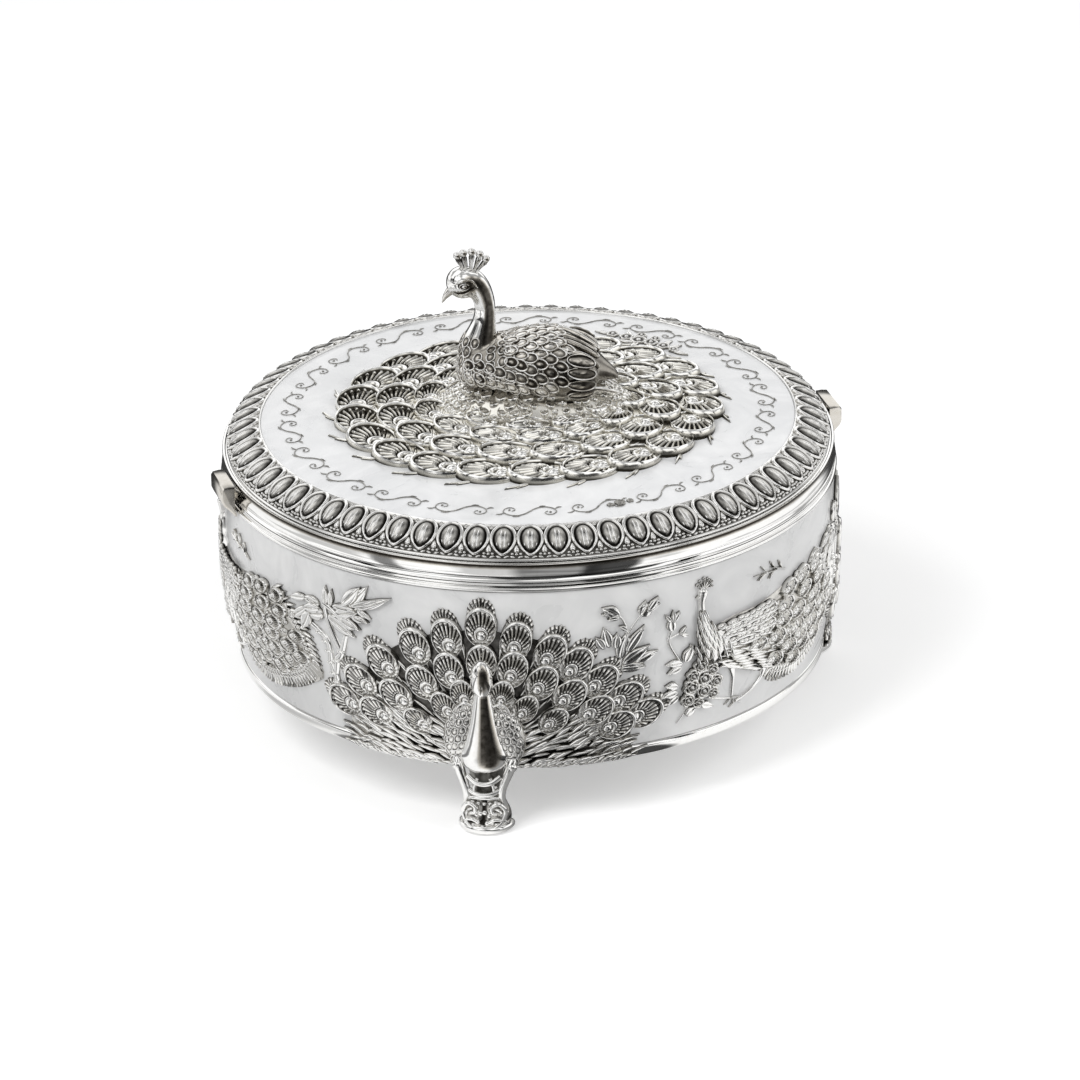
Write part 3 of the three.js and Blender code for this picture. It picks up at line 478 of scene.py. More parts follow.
def shake(seed: float) -> float:
    """A repeatable uneven number from -1 to 1 for a seed."""
    return 2 * ((math.sin(seed * 12.9898) * 43758.5453) % 1.0) - 1


def eased(value: float, start: float, width: float) -> float:
    """How far a value is past a start, as a share of a width from 0 to 1."""
    return min(max((value - start) / width, 0.0), 1.0)


def clear_selection() -> None:
    """Leaves edit mode and deselects everything."""
    if bpy.context.object and bpy.context.object.mode != "OBJECT":
        bpy.ops.object.mode_set(mode="OBJECT")
    bpy.ops.object.select_all(action="DESELECT")


def pick(*objects: Obj) -> None:
    """Selects these objects only, the first one active.

    Args:
        *objects: what to select.
    """
    clear_selection()
    for each in objects:
        each.select_set(True)
    bpy.context.view_layer.objects.active = objects[0]


def close_up(obj: Obj, reach_mm: float = 0.02) -> None:
    """Merges doubled vertices and turns the faces outward.

    Args:
        obj: the piece.
        reach_mm: how near doubles lie.
    """
    pick(obj)
    bpy.ops.object.mode_set(mode="EDIT")
    bpy.ops.mesh.select_all(action="SELECT")
    bpy.ops.mesh.remove_doubles(threshold=reach_mm * MM)
    bpy.ops.mesh.normals_make_consistent(inside=False)
    bpy.ops.object.mode_set(mode="OBJECT")


def smooth(obj: Obj, angle: float = 40.0) -> Obj:
    """Shades a piece smooth below an angle.

    Args:
        obj: the piece.
        angle: the sharpest smooth edge in degrees.

    Returns:
        The piece.
    """
    pick(obj)
    bpy.ops.object.shade_smooth_by_angle(angle=math.radians(angle))
    return obj


def spots(obj: Obj) -> Points:
    """The vertices of a mesh in millimetres."""
    found = np.empty(len(obj.data.vertices) * 3)
    obj.data.vertices.foreach_get("co", found)
    return found.reshape(-1, 3) / MM


def move(obj: Obj, points: Points) -> None:
    """Puts the vertices of a mesh at points in millimetres."""
    obj.data.vertices.foreach_set("co", (np.asarray(points) * MM).ravel())
    obj.data.update()


def mark(obj: Obj, recess: Points | float) -> None:
    """Stores each vertex's patina and painted shade, from 0 bright and proud to 1 dark.

    Args:
        obj: the piece.
        recess: the patina and painted shade, one value for all, or one for each vertex.
    """
    layer = obj.data.attributes.get("recess") or obj.data.attributes.new("recess", "FLOAT", "POINT")
    values = np.broadcast_to(np.asarray(recess, dtype=np.float32), (len(obj.data.vertices),))
    layer.data.foreach_set("value", np.ascontiguousarray(values))


def retouch(obj: Obj, change: Callable[[Points, Points], Points]) -> Obj:
    """Changes the stored patina and painted shade of a piece.

    Args:
        obj: the piece.
        change: gives the new marks from the marks and the places.

    Returns:
        The piece.
    """
    old = np.empty(len(obj.data.vertices), dtype=np.float32)
    obj.data.attributes["recess"].data.foreach_get("value", old)
    mark(obj, change(old, spots(obj)))
    return obj


def regrade(obj: Obj, *levels: Flat) -> Obj:
    """Gives new values to the marks of a feather, all but the bright ones.

    Args:
        obj: the feather.
        *levels: a limit and the new value of the marks below it, in rising order.

    Returns:
        The feather.
    """

    def grade(old: Points, _: Points) -> Points:
        """Grades the marks by the limits."""
        limits, values = zip(*levels)
        return np.select([old < 0.02, *(old < limit for limit in limits)], [old, *values], old)

    return retouch(obj, grade)


def paint_reflection_streaks(obj: Obj, ways: Sequence[Sequence[float]], edge: Flat, depth: float) -> None:
    """Paints dark reflection streaks into the plate where it faces given ways.

    Args:
        obj: the piece.
        ways: the directions, of length one.
        edge: the cosines between which the painted streak rises.
        depth: the painted streak's darkness at full.
    """
    count = len(obj.data.vertices)
    normals, old = np.empty(count * 3, dtype=np.float32), np.empty(count, dtype=np.float32)
    obj.data.vertex_normals.foreach_get("vector", normals)
    obj.data.attributes["recess"].data.foreach_get("value", old)
    facing = np.max(normals.reshape(-1, 3) @ np.array(ways).T, axis=1)
    share = np.clip((facing - edge[0]) / (edge[1] - edge[0]), 0, 1)
    mark(obj, np.maximum(old, share * share * (3 - 2 * share) * depth))


def rings(name: str, steps: int, table: Sequence[Row]) -> Obj:
    """Shapes one circle into a solid by extruding, moving and resizing it ring after ring.

    Args:
        name: the piece's name.
        steps: vertices of a ring.
        table: half width, half depth, middle along Y and height of each ring in millimetres.

    Returns:
        The open tube, its vertices in order of ring and step.
    """
    clear_selection()
    wide, deep, middle, height = table[0]
    bpy.ops.mesh.primitive_circle_add(
        vertices=steps, radius=wide * MM, location=(0, middle * MM, height * MM)
    )
    obj = bpy.context.object
    obj.name = name
    bpy.ops.object.transform_apply(location=True)
    bpy.ops.object.mode_set(mode="EDIT")
    bpy.ops.mesh.select_all(action="SELECT")
    bpy.ops.transform.resize(value=(1, deep / wide, 1), center_override=(0, middle * MM, 0))
    for before, after in zip(table, table[1:]):
        shift = (0, (after[2] - before[2]) * MM, (after[3] - before[3]) * MM)
        bpy.ops.mesh.extrude_edges_move(TRANSFORM_OT_translate={"value": shift})
        grow = (after[0] / before[0], after[1] / before[1], 1)
        bpy.ops.transform.resize(value=grow, center_override=(0, after[2] * MM, 0))
    bpy.ops.object.mode_set(mode="OBJECT")
    return obj


def turned(name: str, outline: Sequence[Flat], steps: int = 192, closed: bool = True) -> Obj:
    """Turns an outline round the box's axis.

    Args:
        name: the piece's name.
        outline: radius and height of each point in millimetres.
        steps: facets round the axis.
        closed: whether the last point joins the first.

    Returns:
        The closed solid.
    """
    table = [(radius, radius, 0.0, height) for radius, height in outline]
    obj = rings(name, steps, [*table, table[0]] if closed else table)
    close_up(obj, 0.01)
    mark(obj, 0.0)
    return smooth(obj, 35)


def loft(name: str, loops: Points) -> Obj:
    """Extrudes one circle into a tube and moves each of its loops to its place.

    Args:
        name: the piece's name.
        loops: the loops' points in millimetres, as loop, step and coordinate.

    Returns:
        The closed solid, its end loops drawn together.
    """
    count, steps, _ = loops.shape
    obj = rings(name, steps, [(1.0, 1.0, 0.0, float(i)) for i in range(count)])
    move(obj, loops.reshape(-1, 3))
    close_up(obj)
    mark(obj, 0.0)
    return smooth(obj, 60)


def capped(name: str, loops: Sequence[Points]) -> Obj:
    """Lofts a solid over loops, its ends drawn to their middles.

    Args:
        name: the piece's name.
        loops: the points of each loop in millimetres.

    Returns:
        The solid.
    """
    ends = [np.repeat(loop.mean(0)[None], len(loop), 0) for loop in (loops[0], loops[-1])]
    return loft(name, np.array([ends[0], *loops, ends[1]]))


def ovals(
    name: str, sections: Sequence[tuple[Sequence[float], Sequence[float], Sequence[float]]], steps: int = 24
) -> Obj:
    """Lofts a closed skin over oval sections.

    Args:
        name: the piece's name.
        sections: middle, half width vector and half depth vector of each section in millimetres.
        steps: points of a section.

    Returns:
        The solid.
    """
    turns = np.arange(steps) * 2 * math.pi / steps
    round_loop = np.column_stack((np.cos(turns), np.sin(turns)))
    loops = []
    for middle, wide, deep in sections:
        loops.append(np.array(middle, float) + round_loop @ np.array((wide, deep), float))
    return capped(name, loops)


def rod(name: str, path: Sequence[Sequence[float]], radii: Sequence[float], steps: int = 8) -> Obj:
    """Lofts a round rod along a path.

    Args:
        name: the piece's name.
        path: its points in millimetres.
        radii: the rod's radius at each point.
        steps: sides of the rod.

    Returns:
        The solid.
    """
    line = np.array(path, float)
    ways = np.gradient(line, axis=0)
    ways /= np.linalg.norm(ways, axis=1)[:, None]
    up = np.array((0.0, 0.0, 1.0)) if abs(ways[0][2]) < 0.8 else np.array((0.0, 1.0, 0.0))
    sections = []
    for point, way, radius in zip(line, ways, radii):
        side = np.cross(way, up)
        side /= np.linalg.norm(side)
        up = np.cross(side, way)
        sections.append((point, side * radius, up * radius))
    return ovals(name, sections, steps)


def strand(
    name: str, points: Sequence[Sequence[float]], radii: Sequence[float], steps: int = 8,
    flip: Sequence[float] = (1, 1, 1),
) -> Obj:
    """Lofts a rod along a smooth curve, or along its mirror image, with a station for each radius."""
    return rod(name, curved(np.array(points, float) * flip, len(radii)), radii, steps)


def ball(name: str, middle: Sequence[float], radii: Sequence[float], tilt: float = 0.0) -> Obj:
    """Adds a ball, stretches it and tilts it round Y.

    Args:
        name: the piece's name.
        middle: its middle in millimetres.
        radii: its half sizes in millimetres.
        tilt: degrees round Y.

    Returns:
        The solid.
    """
    clear_selection()
    bpy.ops.mesh.primitive_uv_sphere_add(segments=20, ring_count=12, radius=MM)
    obj = bpy.context.object
    obj.name = name
    points = spots(obj) * np.array(radii)
    turn = math.radians(tilt)
    x = points[:, 0] * math.cos(turn) + points[:, 2] * math.sin(turn)
    z = points[:, 2] * math.cos(turn) - points[:, 0] * math.sin(turn)
    move(obj, np.column_stack((x, points[:, 1], z)) + np.array(middle))
    mark(obj, 0.0)
    return smooth(obj, 80)


def joined(name: str, parts: Sequence[Obj]) -> Obj:
    """Joins objects into one.

    Args:
        name: the new name.
        parts: the objects.

    Returns:
        The joined object.
    """
    pick(*parts)
    if len(parts) > 1:
        bpy.ops.object.join()
    parts[0].name = name
    return parts[0]


def fused(name: str, parts: Sequence[Obj], grain_mm: float, rounds: int = 6) -> Obj:
    """Fuses overlapping solids into one smooth skin.

    Args:
        name: the new name.
        parts: the solids.
        grain_mm: the skin's face size.
        rounds: smoothing passes.

    Returns:
        The skin.
    """
    obj = joined(name, parts)
    melt = obj.modifiers.new("melt", "REMESH")
    melt.mode = "VOXEL"
    melt.voxel_size = grain_mm * MM
    melt.use_smooth_shade = True
    bpy.ops.object.modifier_apply(modifier="melt")
    ease = obj.modifiers.new("ease", "SMOOTH")
    ease.factor = 0.5
    ease.iterations = rounds
    bpy.ops.object.modifier_apply(modifier="ease")
    mark(obj, 0.0)
    return obj


def finish(obj: Obj, body: Body, slot: Slot, material: bpy.types.Material, *nodes: str) -> Obj:
    """Dresses a piece, lets it ride on its body and lets it stand for its CAD nodes.

    Args:
        obj: the piece.
        body: what it moves with.
        slot: the material slot, not used.
        material: its finish.
        *nodes: the CAD nodes that it stands for.

    Returns:
        The piece.
    """
    obj.data.materials.clear()
    obj.data.materials.append(material)
    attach(obj, body.value)
    if nodes:
        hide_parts(*nodes)
    LOG.info("%s: %d faces for %s", obj.name, len(obj.data.polygons), ", ".join(nodes) or "its own place")
    return obj


# Grounds on which reliefs lie


def wall_radius(height: Points) -> Points:
    """Gives the drum's outer radius.

    Args:
        height: heights above the soles in millimetres.

    Returns:
        The radii in millimetres.
    """
    share = np.clip((WIDEST_AT - np.maximum(height, ENAMEL_FOOT)) / (WIDEST_AT - ENAMEL_FOOT), 0.0, None)
    tuck = np.clip((33.0 - height) / 4.0, 0.0, 1.0)
    return DRUM_RADIUS - 5.0 * share * share - 3.4 * tuck * tuck


def on_wall(points: Points) -> Points:
    """Bends a flat relief round the front of the drum.

    Args:
        points: places across, up from the enamel's foot and out, in millimetres.

    Returns:
        The places on the drum.
    """
    height = points[:, 1] + ENAMEL_FOOT
    radius = wall_radius(height) + points[:, 2]
    turn = points[:, 0] / DRUM_RADIUS
    return np.column_stack((radius * np.sin(turn), -radius * np.cos(turn), height))


def spot(azimuth: float, height: float) -> Flat:
    """The flat place on the wall of an azimuth from the foot and a height above the soles."""
    return math.radians(azimuth) * DRUM_RADIUS, height - ENAMEL_FOOT


def panel_height(radius: Points | float) -> Points | float:
    """The height of the lid's enamel at a radius, in millimetres."""
    return PANEL_EDGE_HEIGHT + PANEL_RISE * (1.0 - (radius / PANEL_RADIUS) ** 2)


def on_panel(points: Points) -> Points:
    """Lays points on the lid's panel, given as X, Y and height above it in millimetres."""
    radius = np.hypot(points[:, 0], points[:, 1])
    return np.column_stack((points[:, 0], points[:, 1], panel_height(radius) + points[:, 2]))


def border_slope(share: Points) -> tuple[Points, Points]:
    """Gives the border's slope, which lies between a cone and a quarter round.

    Args:
        share: shares of the way from the panel's edge to the lid's edge.

    Returns:
        The way out from the panel's edge and the height over the slope's foot, in millimetres.
    """
    turn = share * math.pi / 2
    out = BORDER_WIDTH * (0.5 * np.sin(turn) + 0.5 * share)
    return out, BORDER_RISE * (0.5 * np.cos(turn) + 0.5 * (1 - share))


def on_border(points: Points) -> Points:
    """Lays points round the egg-and-dart border.

    Args:
        points: places along its arc, out from the panel's edge and above it, in millimetres.

    Returns:
        The places on the lid.
    """
    out, up = border_slope(points[:, 1] / BORDER_LENGTH)
    ahead, below = border_slope(points[:, 1] / BORDER_LENGTH + 0.02)
    away = np.column_stack((up - below, ahead - out))
    away /= np.linalg.norm(away, axis=1)[:, None]
    radius = PANEL_RADIUS + out + away[:, 0] * points[:, 2]
    around = points[:, 0] / BORDER_RADIUS
    height = BORDER_FOOT + up + away[:, 1] * points[:, 2]
    return np.column_stack((radius * np.sin(around), -radius * np.cos(around), height))


def dress_solid(name: str, material: bpy.types.Material) -> None:
    """Gives a CAD solid its finish.

    Args:
        name: its node.
        material: the finish.
    """
    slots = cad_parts[name].data.materials
    slots.clear()
    slots.append(material)
    LOG.info("%s: kept from the solids", name)


@dataclass
class Stamp:
    """A small relief, modelled once and pressed many times: across X, along Y to its tip, out along Z."""

    obj: Obj

    def press(
        self, ground: Ground, at: Sequence[float], turn: float = 0.0,
        size: Sequence[float] = (1.0, 1.0, 1.0), lift: float = 0.0, rake: float = 0.0,
    ) -> Obj:
        """Presses one copy, with its own mesh, on a ground.

        Args:
            ground: maps flat places to the object.
            at: the flat place of its middle in millimetres.
            turn: degrees from up, counterclockwise.
            size: factors across, along and out.
            lift: how far it is raised in millimetres.
            rake: how much higher each millimetre towards its tip lies.

        Returns:
            The copy.
        """
        points = spots(self.obj) * np.array(size)
        points[:, 2] += lift + rake * points[:, 1]
        copy = bpy.data.objects.new(self.obj.name + "_copy", self.obj.data.copy())
        bpy.context.scene.collection.objects.link(copy)
        move(copy, ground(spun(points, turn) + np.array((at[0], at[1], 0.0))))
        return copy

    def between(
        self, ground: Ground, root: Sequence[float], tip: Sequence[float], half: float, lift: float = 0.4,
        high: float = 1.0,
    ) -> Obj:
        """Presses a leaf-like relief, 16 mm long and 2.4 mm to each side, from its root to its tip.

        Args:
            ground: what it lies on.
            root: where it starts.
            tip: where it ends.
            half: half its width in millimetres.
            lift: how far it is raised.
            high: its height as a factor.

        Returns:
            The copy.
        """
        way = (tip[0] - root[0], tip[1] - root[1])
        middle = ((tip[0] + root[0]) / 2, (tip[1] + root[1]) / 2)
        turn = math.degrees(math.atan2(-way[0], way[1]))
        return self.press(ground, middle, turn, (half / 2.4, math.hypot(*way) / 16.0, high), lift)


@dataclass
class Skin:
    """A modelled surface on which stamps are laid by their nearest points."""

    obj: Obj
    tree: BVHTree = field(init=False)

    def __post_init__(self) -> None:
        """Builds the search tree over the surface."""
        mesh = self.obj.data
        corners = [tuple(point) for point in spots(self.obj)]
        self.tree = BVHTree.FromPolygons(corners, [tuple(face.vertices) for face in mesh.polygons])

    def ground(self, middle: Sequence[float], way: Sequence[float]) -> Ground:
        """Gives the ground round one place of the skin.

        Args:
            middle: a point near the place in millimetres.
            way: the direction in which a tip on it points.

        Returns:
            The ground, whose Y runs along the way.
        """
        spot, normal, _, _ = self.tree.find_nearest(Vector(middle))
        along = Vector(way) - normal * Vector(way).dot(normal)
        along.normalize()
        across = along.cross(normal)

        def lay(points: Points) -> Points:
            """Lays points on the skin by their nearest places.

            Args:
                points: places across, along and above the place, in millimetres.

            Returns:
                The places on the skin.
            """
            placed = []
            for x, y, z in points:
                near, out, _, _ = self.tree.find_nearest(spot + across * x + along * y)
                placed.append(near + (out * 0.6 + normal * 0.4) * z)
            return np.array([tuple(point) for point in placed])

        return lay


@dataclass
class Stamps:
    """The box's small reliefs, each modelled once in millimetres, with its tip towards +Y.

    A table gives half width, half length, middle, height, and patina with painted shade, of each ring of a
    relief.
    """

    eye_half: Flat = (7.0, 9.0)
    boss_half: float = 1.9
    boss_drop: float = 4.4
    made: list[Obj] = field(default_factory=list)

    @staticmethod
    def model(
        name: str, steps: int, table: Sequence[Sequence[float]], outline: Outline | None = None,
        ribs: Sequence[int] = (), rib: float = 0.0,
    ) -> Obj:
        """Models one form from rings, then moves its vertices for its outline and ribs.

        Args:
            name: its name.
            steps: vertices of a ring.
            table: its rings.
            outline: gives factors across and along from the places across and along.
            ribs: the rings that carry ribs.
            rib: half the ribs' height in millimetres.

        Returns:
            The form.
        """
        obj = rings(name, steps, [row[:4] for row in table])
        points = spots(obj).reshape(len(table), steps, 3)
        recess = np.repeat(np.array([row[4] for row in table])[:, None], steps, 1)
        fade = np.clip(0.75 + np.cos(np.arange(steps) * 2 * math.pi / steps), 0.3, 1.0)
        wave = np.where(np.arange(steps) % 2, 1.0, -1.0)
        # The grooves between the ribs get patina with painted shade, fading round the ring.
        for ring in ribs:
            points[ring, :, 2] += rib * wave * fade
            recess[ring] = np.where(wave > 0, 0.0, 0.3 + 0.65 * fade)
        flat = points.reshape(-1, 3)
        if outline:
            across, along = outline(flat[:, 0], flat[:, 1])
            flat = flat * np.column_stack([np.broadcast_to(part, len(flat)) for part in (across, along, 1.0)])
        move(obj, flat)
        mark(obj, recess.reshape(-1))
        close_up(obj)
        return smooth(obj, 75)

    def keep(self, *parts: Obj) -> Stamp:
        """Makes a stamp of a relief's parts and notes it for its removal."""
        self.made.append(joined(parts[0].name, parts))
        return Stamp(self.made[-1])

    def put_away(self) -> None:
        """Removes the models once their copies are made."""
        for obj in self.made:
            bpy.data.objects.remove(obj)

    @cached_property
    def eye(self) -> Stamp:
        """An eye feather's disc: its raised rim, long ribs, inner ring and boss.

        Returns:
            The stamp.
        """
        (wide, long), boss, drop = self.eye_half, self.boss_half, -self.boss_drop
        # Each level: share of the way out, height, and patina with painted shade, dark just inside the rim.
        levels = (
            (1.06, -1.4, 0.9), (1.04, 0.5, 0.5), (1.0, 1.5, 0.0), (0.955, 1.9, 0.0), (0.915, 1.75, 0.0),
            (0.885, 0.9, 0.85), (0.85, 0.6, 0.7), (0.72, 0.8, 0.3), (0.56, 1.0, 0.2), (0.40, 1.15, 0.15),
            (0.29, 1.0, 0.35), (0.25, 0.55, 0.9), (0.205, 1.3, 0.0), (0.15, 1.5, 0.0), (0.10, 1.1, 0.1),
            (0.04, 0.5, 0.8),
        )
        table = [
            (boss + (wide - boss) * t, boss + (long - boss) * t, drop * (1 - t), z, recess)
            for t, z, recess in levels
        ]
        table += [(boss * 1.05, boss * 1.1, drop, 0.55, 0.4), (boss * 0.9, boss * 0.95, drop, 1.2, 0.0)]
        table += [(boss * 0.5, boss * 0.55, drop, 1.75, 0.0), (0.01, 0.01, drop, 1.95, 0.0)]
        return self.keep(self.model("eye_feather", 36, table, ribs=(6, 7, 8, 9, 10), rib=0.55))

    @cached_property
    def fringe(self) -> Stamp:
        """The ribbed fringe that shows beyond an eye, every second barb drawn out to a point.

        Returns:
            The stamp.
        """

        def saw(x: Points, y: Points) -> tuple[Points, Points]:
            """Draws every second barb out to a point."""
            tip = np.where(np.cos(np.arctan2(x, y) * 22) < 0, 1.0, 0.0) * np.clip(np.hypot(x, y) - 5.5, 0, 1)
            return 1 + 0.06 * tip, 1 + 0.1 * tip

        table = (
            (6.6, 8.4, 0.0, -1.2, 1.0), (6.6, 8.4, 0.0, 0.15, 0.5), (5.6, 7.2, 0.0, 0.8, 0.3),
            (4.0, 5.0, 0.0, 1.0, 0.3), (2.0, 2.6, 0.0, 0.9, 0.6), (0.01, 0.01, 0.0, 0.9, 0.6),
        )
        return self.keep(self.model("feather_fringe", 44, table, saw, (1, 2, 3, 4), 0.36))

    @cached_property
    def scale(self) -> Stamp:
        """A small body feather: a domed tongue with a bright rim, its tip drawn a little to a point.

        Returns:
            The stamp.
        """
        table = (
            (2.1, 2.7, 0.0, -0.6, 1.0), (2.06, 2.66, 0.0, 0.35, 0.6), (1.82, 2.4, 0.0, 0.8, 0.0),
            (1.55, 2.12, 0.0, 0.75, 0.0), (1.38, 1.93, 0.0, 0.4, 0.85), (0.85, 1.25, -0.1, 0.55, 0.25),
            (0.01, 0.2, -0.1, 0.7, 0.05),
        )
        return self.keep(self.model(
            "body_scale", 14, table, lambda x, y: (1 - 0.28 * np.clip(y / 2.7, 0, 1) ** 2, 1.0)
        ))

    @cached_property
    def plume(self) -> Stamp:
        """A long rounded wing feather with a rim and a shaft.

        Returns:
            The stamp.
        """
        table = (
            (2.0, 9.0, 0.0, -0.8, 1.0), (1.95, 8.9, 0.0, 0.4, 0.3), (1.72, 8.5, 0.0, 0.8, 0.0),
            (1.48, 8.2, 0.0, 0.7, 0.0), (1.3, 7.95, 0.0, 0.35, 0.85), (0.9, 7.5, 0.0, 0.5, 0.4),
            (0.01, 7.0, 0.0, 0.7, 0.25),
        )
        return self.keep(self.model("long_plume", 20, table))

    @cached_property
    def blade(self) -> Stamp:
        """A narrow feather like a blade of grass, pointed at both ends.

        Returns:
            The stamp.
        """
        table = (
            (1.1, 8.0, 0.0, -0.7, 1.0), (1.0, 7.9, 0.0, 0.2, 0.5), (0.3, 7.2, 0.0, 0.75, 0.0),
            (0.01, 7.0, 0.0, 0.8, 0.0),
        )
        return self.keep(self.model(
            "grass_feather", 12, table, lambda x, y: (1 - 0.85 * np.abs(y / 8.0) ** 1.6, 1.0)
        ))

    @cached_property
    def leaf(self) -> Stamp:
        """A pointed leaf with a sunk midrib.

        Returns:
            The stamp.
        """

        def taper(_: Points, y: Points) -> tuple[Points, float]:
            """Draws the leaf's tip to a point."""
            share = y / 8.0
            return np.where(share > -0.2, 1 - 0.9 * np.clip(share + 0.2, 0, 1.2) ** 1.7 / 1.36, 1.0), 1.0

        table = (
            (2.4, 8.0, 0.0, -0.7, 1.0), (2.3, 7.9, 0.0, 0.45, 0.25), (1.8, 7.5, 0.0, 0.8, 0.0),
            (0.5, 7.0, 0.0, 0.65, 0.0), (0.01, 6.8, 0.0, 0.4, 0.45),
        )
        return self.keep(self.model("pointed_leaf", 20, table, taper))

    @cached_property
    def blossom(self) -> Stamp:
        """An open flower with five cupped petals and a button.

        Returns:
            The stamp.
        """

        def lobes(x: Points, y: Points) -> tuple[Points, Points]:
            """Draws the petals' outline."""
            far = np.clip((np.hypot(x, y) - 1.3) / 2.7, 0, 1)
            grow = 1 + far * (0.24 * np.abs(np.cos(2.5 * np.arctan2(x, y))) - 0.14)
            return grow, grow

        rows = (
            (4.0, -0.7, 1.0), (4.0, 0.7, 0.2), (3.6, 1.1, 0.0), (2.9, 0.75, 0.6), (1.9, 0.3, 1.0),
            (1.3, 0.45, 0.8), (1.0, 1.15, 0.0), (0.5, 1.4, 0.0), (0.01, 1.45, 0.0),
        )
        table = [(half, half, 0.0, high, recess) for half, high, recess in rows]
        return self.keep(self.model("small_blossom", 30, table, lobes))

    @cached_property
    def egg(self) -> Stamp:
        """An egg of the border inside its raised pointed rim, its body painted dark round raised bright
        streaks as painted reflection.

        Returns:
            The stamp.
        """

        def point(_: Points, y: Points) -> tuple[Points, Points]:
            """Draws the outer end to a point."""
            share = np.clip((y + 1.0) / 9.9, 0, 1)
            return 1 - 0.5 * share**2.2 + 0.12 * np.clip(-y / 8.9, 0, 1), 1 + 0.04 * share

        table = (
            (6.25, 8.95, 0.0, -0.6, 1.0), (6.2, 8.9, 0.0, 0.7, 0.3), (5.85, 8.55, 0.0, 1.5, 0.0),
            (5.05, 7.75, 0.0, 1.6, 0.0), (4.55, 7.2, 0.0, 0.7, 0.95), (4.3, 6.95, 0.0, 0.6, 1.0),
            (3.95, 6.5, 0.0, 1.2, 0.9), (3.0, 5.3, 0.0, 2.0, 0.62), (1.5, 3.0, 0.3, 2.4, 0.35),
            (0.01, 0.01, 0.4, 2.45, 0.1),
        )
        parts = [self.model("border_egg", 28, table, point)]
        turns = [math.radians(step) for step in (-60, -25, 0, 25, 60, 89)]
        for x, long, high in ((-2.5, 3.6, 1.5), (-0.9, 5.2, 2.1), (0.8, 4.8, 2.1), (2.5, 3.4, 1.5)):
            rows = [
                (0.52 * math.cos(t), long * math.cos(t), 0.6, high + 0.55 * math.sin(t), 0.0) for t in turns
            ]
            parts.append(self.model("egg_streak", 8, rows))
            move(parts[-1], spots(parts[-1]) + np.array((x, 0.0, 0.0)))
        return self.keep(*parts)

    @cached_property
    def nub(self) -> Stamp:
        """The small leaf of the border's outer edge.

        Returns:
            The stamp.
        """
        table = (
            (1.5, 0.85, 0.0, -0.4, 1.0), (1.4, 0.8, 0.0, 0.35, 0.25), (0.8, 0.45, 0.0, 0.8, 0.0),
            (0.01, 0.01, 0.0, 0.9, 0.0),
        )
        return self.keep(self.model("edge_leaf", 10, table))

    @cached_property
    def dart(self) -> Stamp:
        """The small dart between two eggs, narrower towards its inner end, with its three balls.

        Returns:
            The stamp.
        """
        table = (
            (2.6, 3.4, 0.0, -0.5, 1.0), (2.5, 3.3, 0.0, 0.4, 0.3), (1.7, 2.4, 0.0, 0.85, 0.0),
            (0.01, 1.4, 0.0, 0.95, 0.0),
        )
        parts = [self.model(
            "border_dart", 12, table, lambda x, y: (0.15 + 0.85 * np.clip((y + 3.4) / 6.8, 0, 1), 1.0)
        )]
        rows = ((1.05, -0.4, 1.0), (1.0, 0.4, 0.2), (0.6, 0.95, 0.0), (0.01, 1.1, 0.0))
        for x in (-2.3, 0.0, 2.3):
            parts.append(self.model(
                "border_ball", 10, [(half, half, 0.0, high, recess) for half, high, recess in rows]
            ))
            move(parts[-1], spots(parts[-1]) + np.array((x, 4.5 - abs(x) * 0.12, 0.0)))
        return self.keep(*parts)


@dataclass
class Assembly:
    """What every sub-assembly is given: the finishes and the small reliefs."""

    palette: Palette
    stamps: Stamps


def arc(middle: Flat, radii: Flat, first: float, last: float, count: int) -> list[Flat]:
    """Points of an arc of an outline, with the angles in degrees from outward, turning up."""
    turns = np.radians(np.linspace(first, last, count))
    return [(middle[0] + radii[0] * math.cos(t), middle[1] + radii[1] * math.sin(t)) for t in turns]


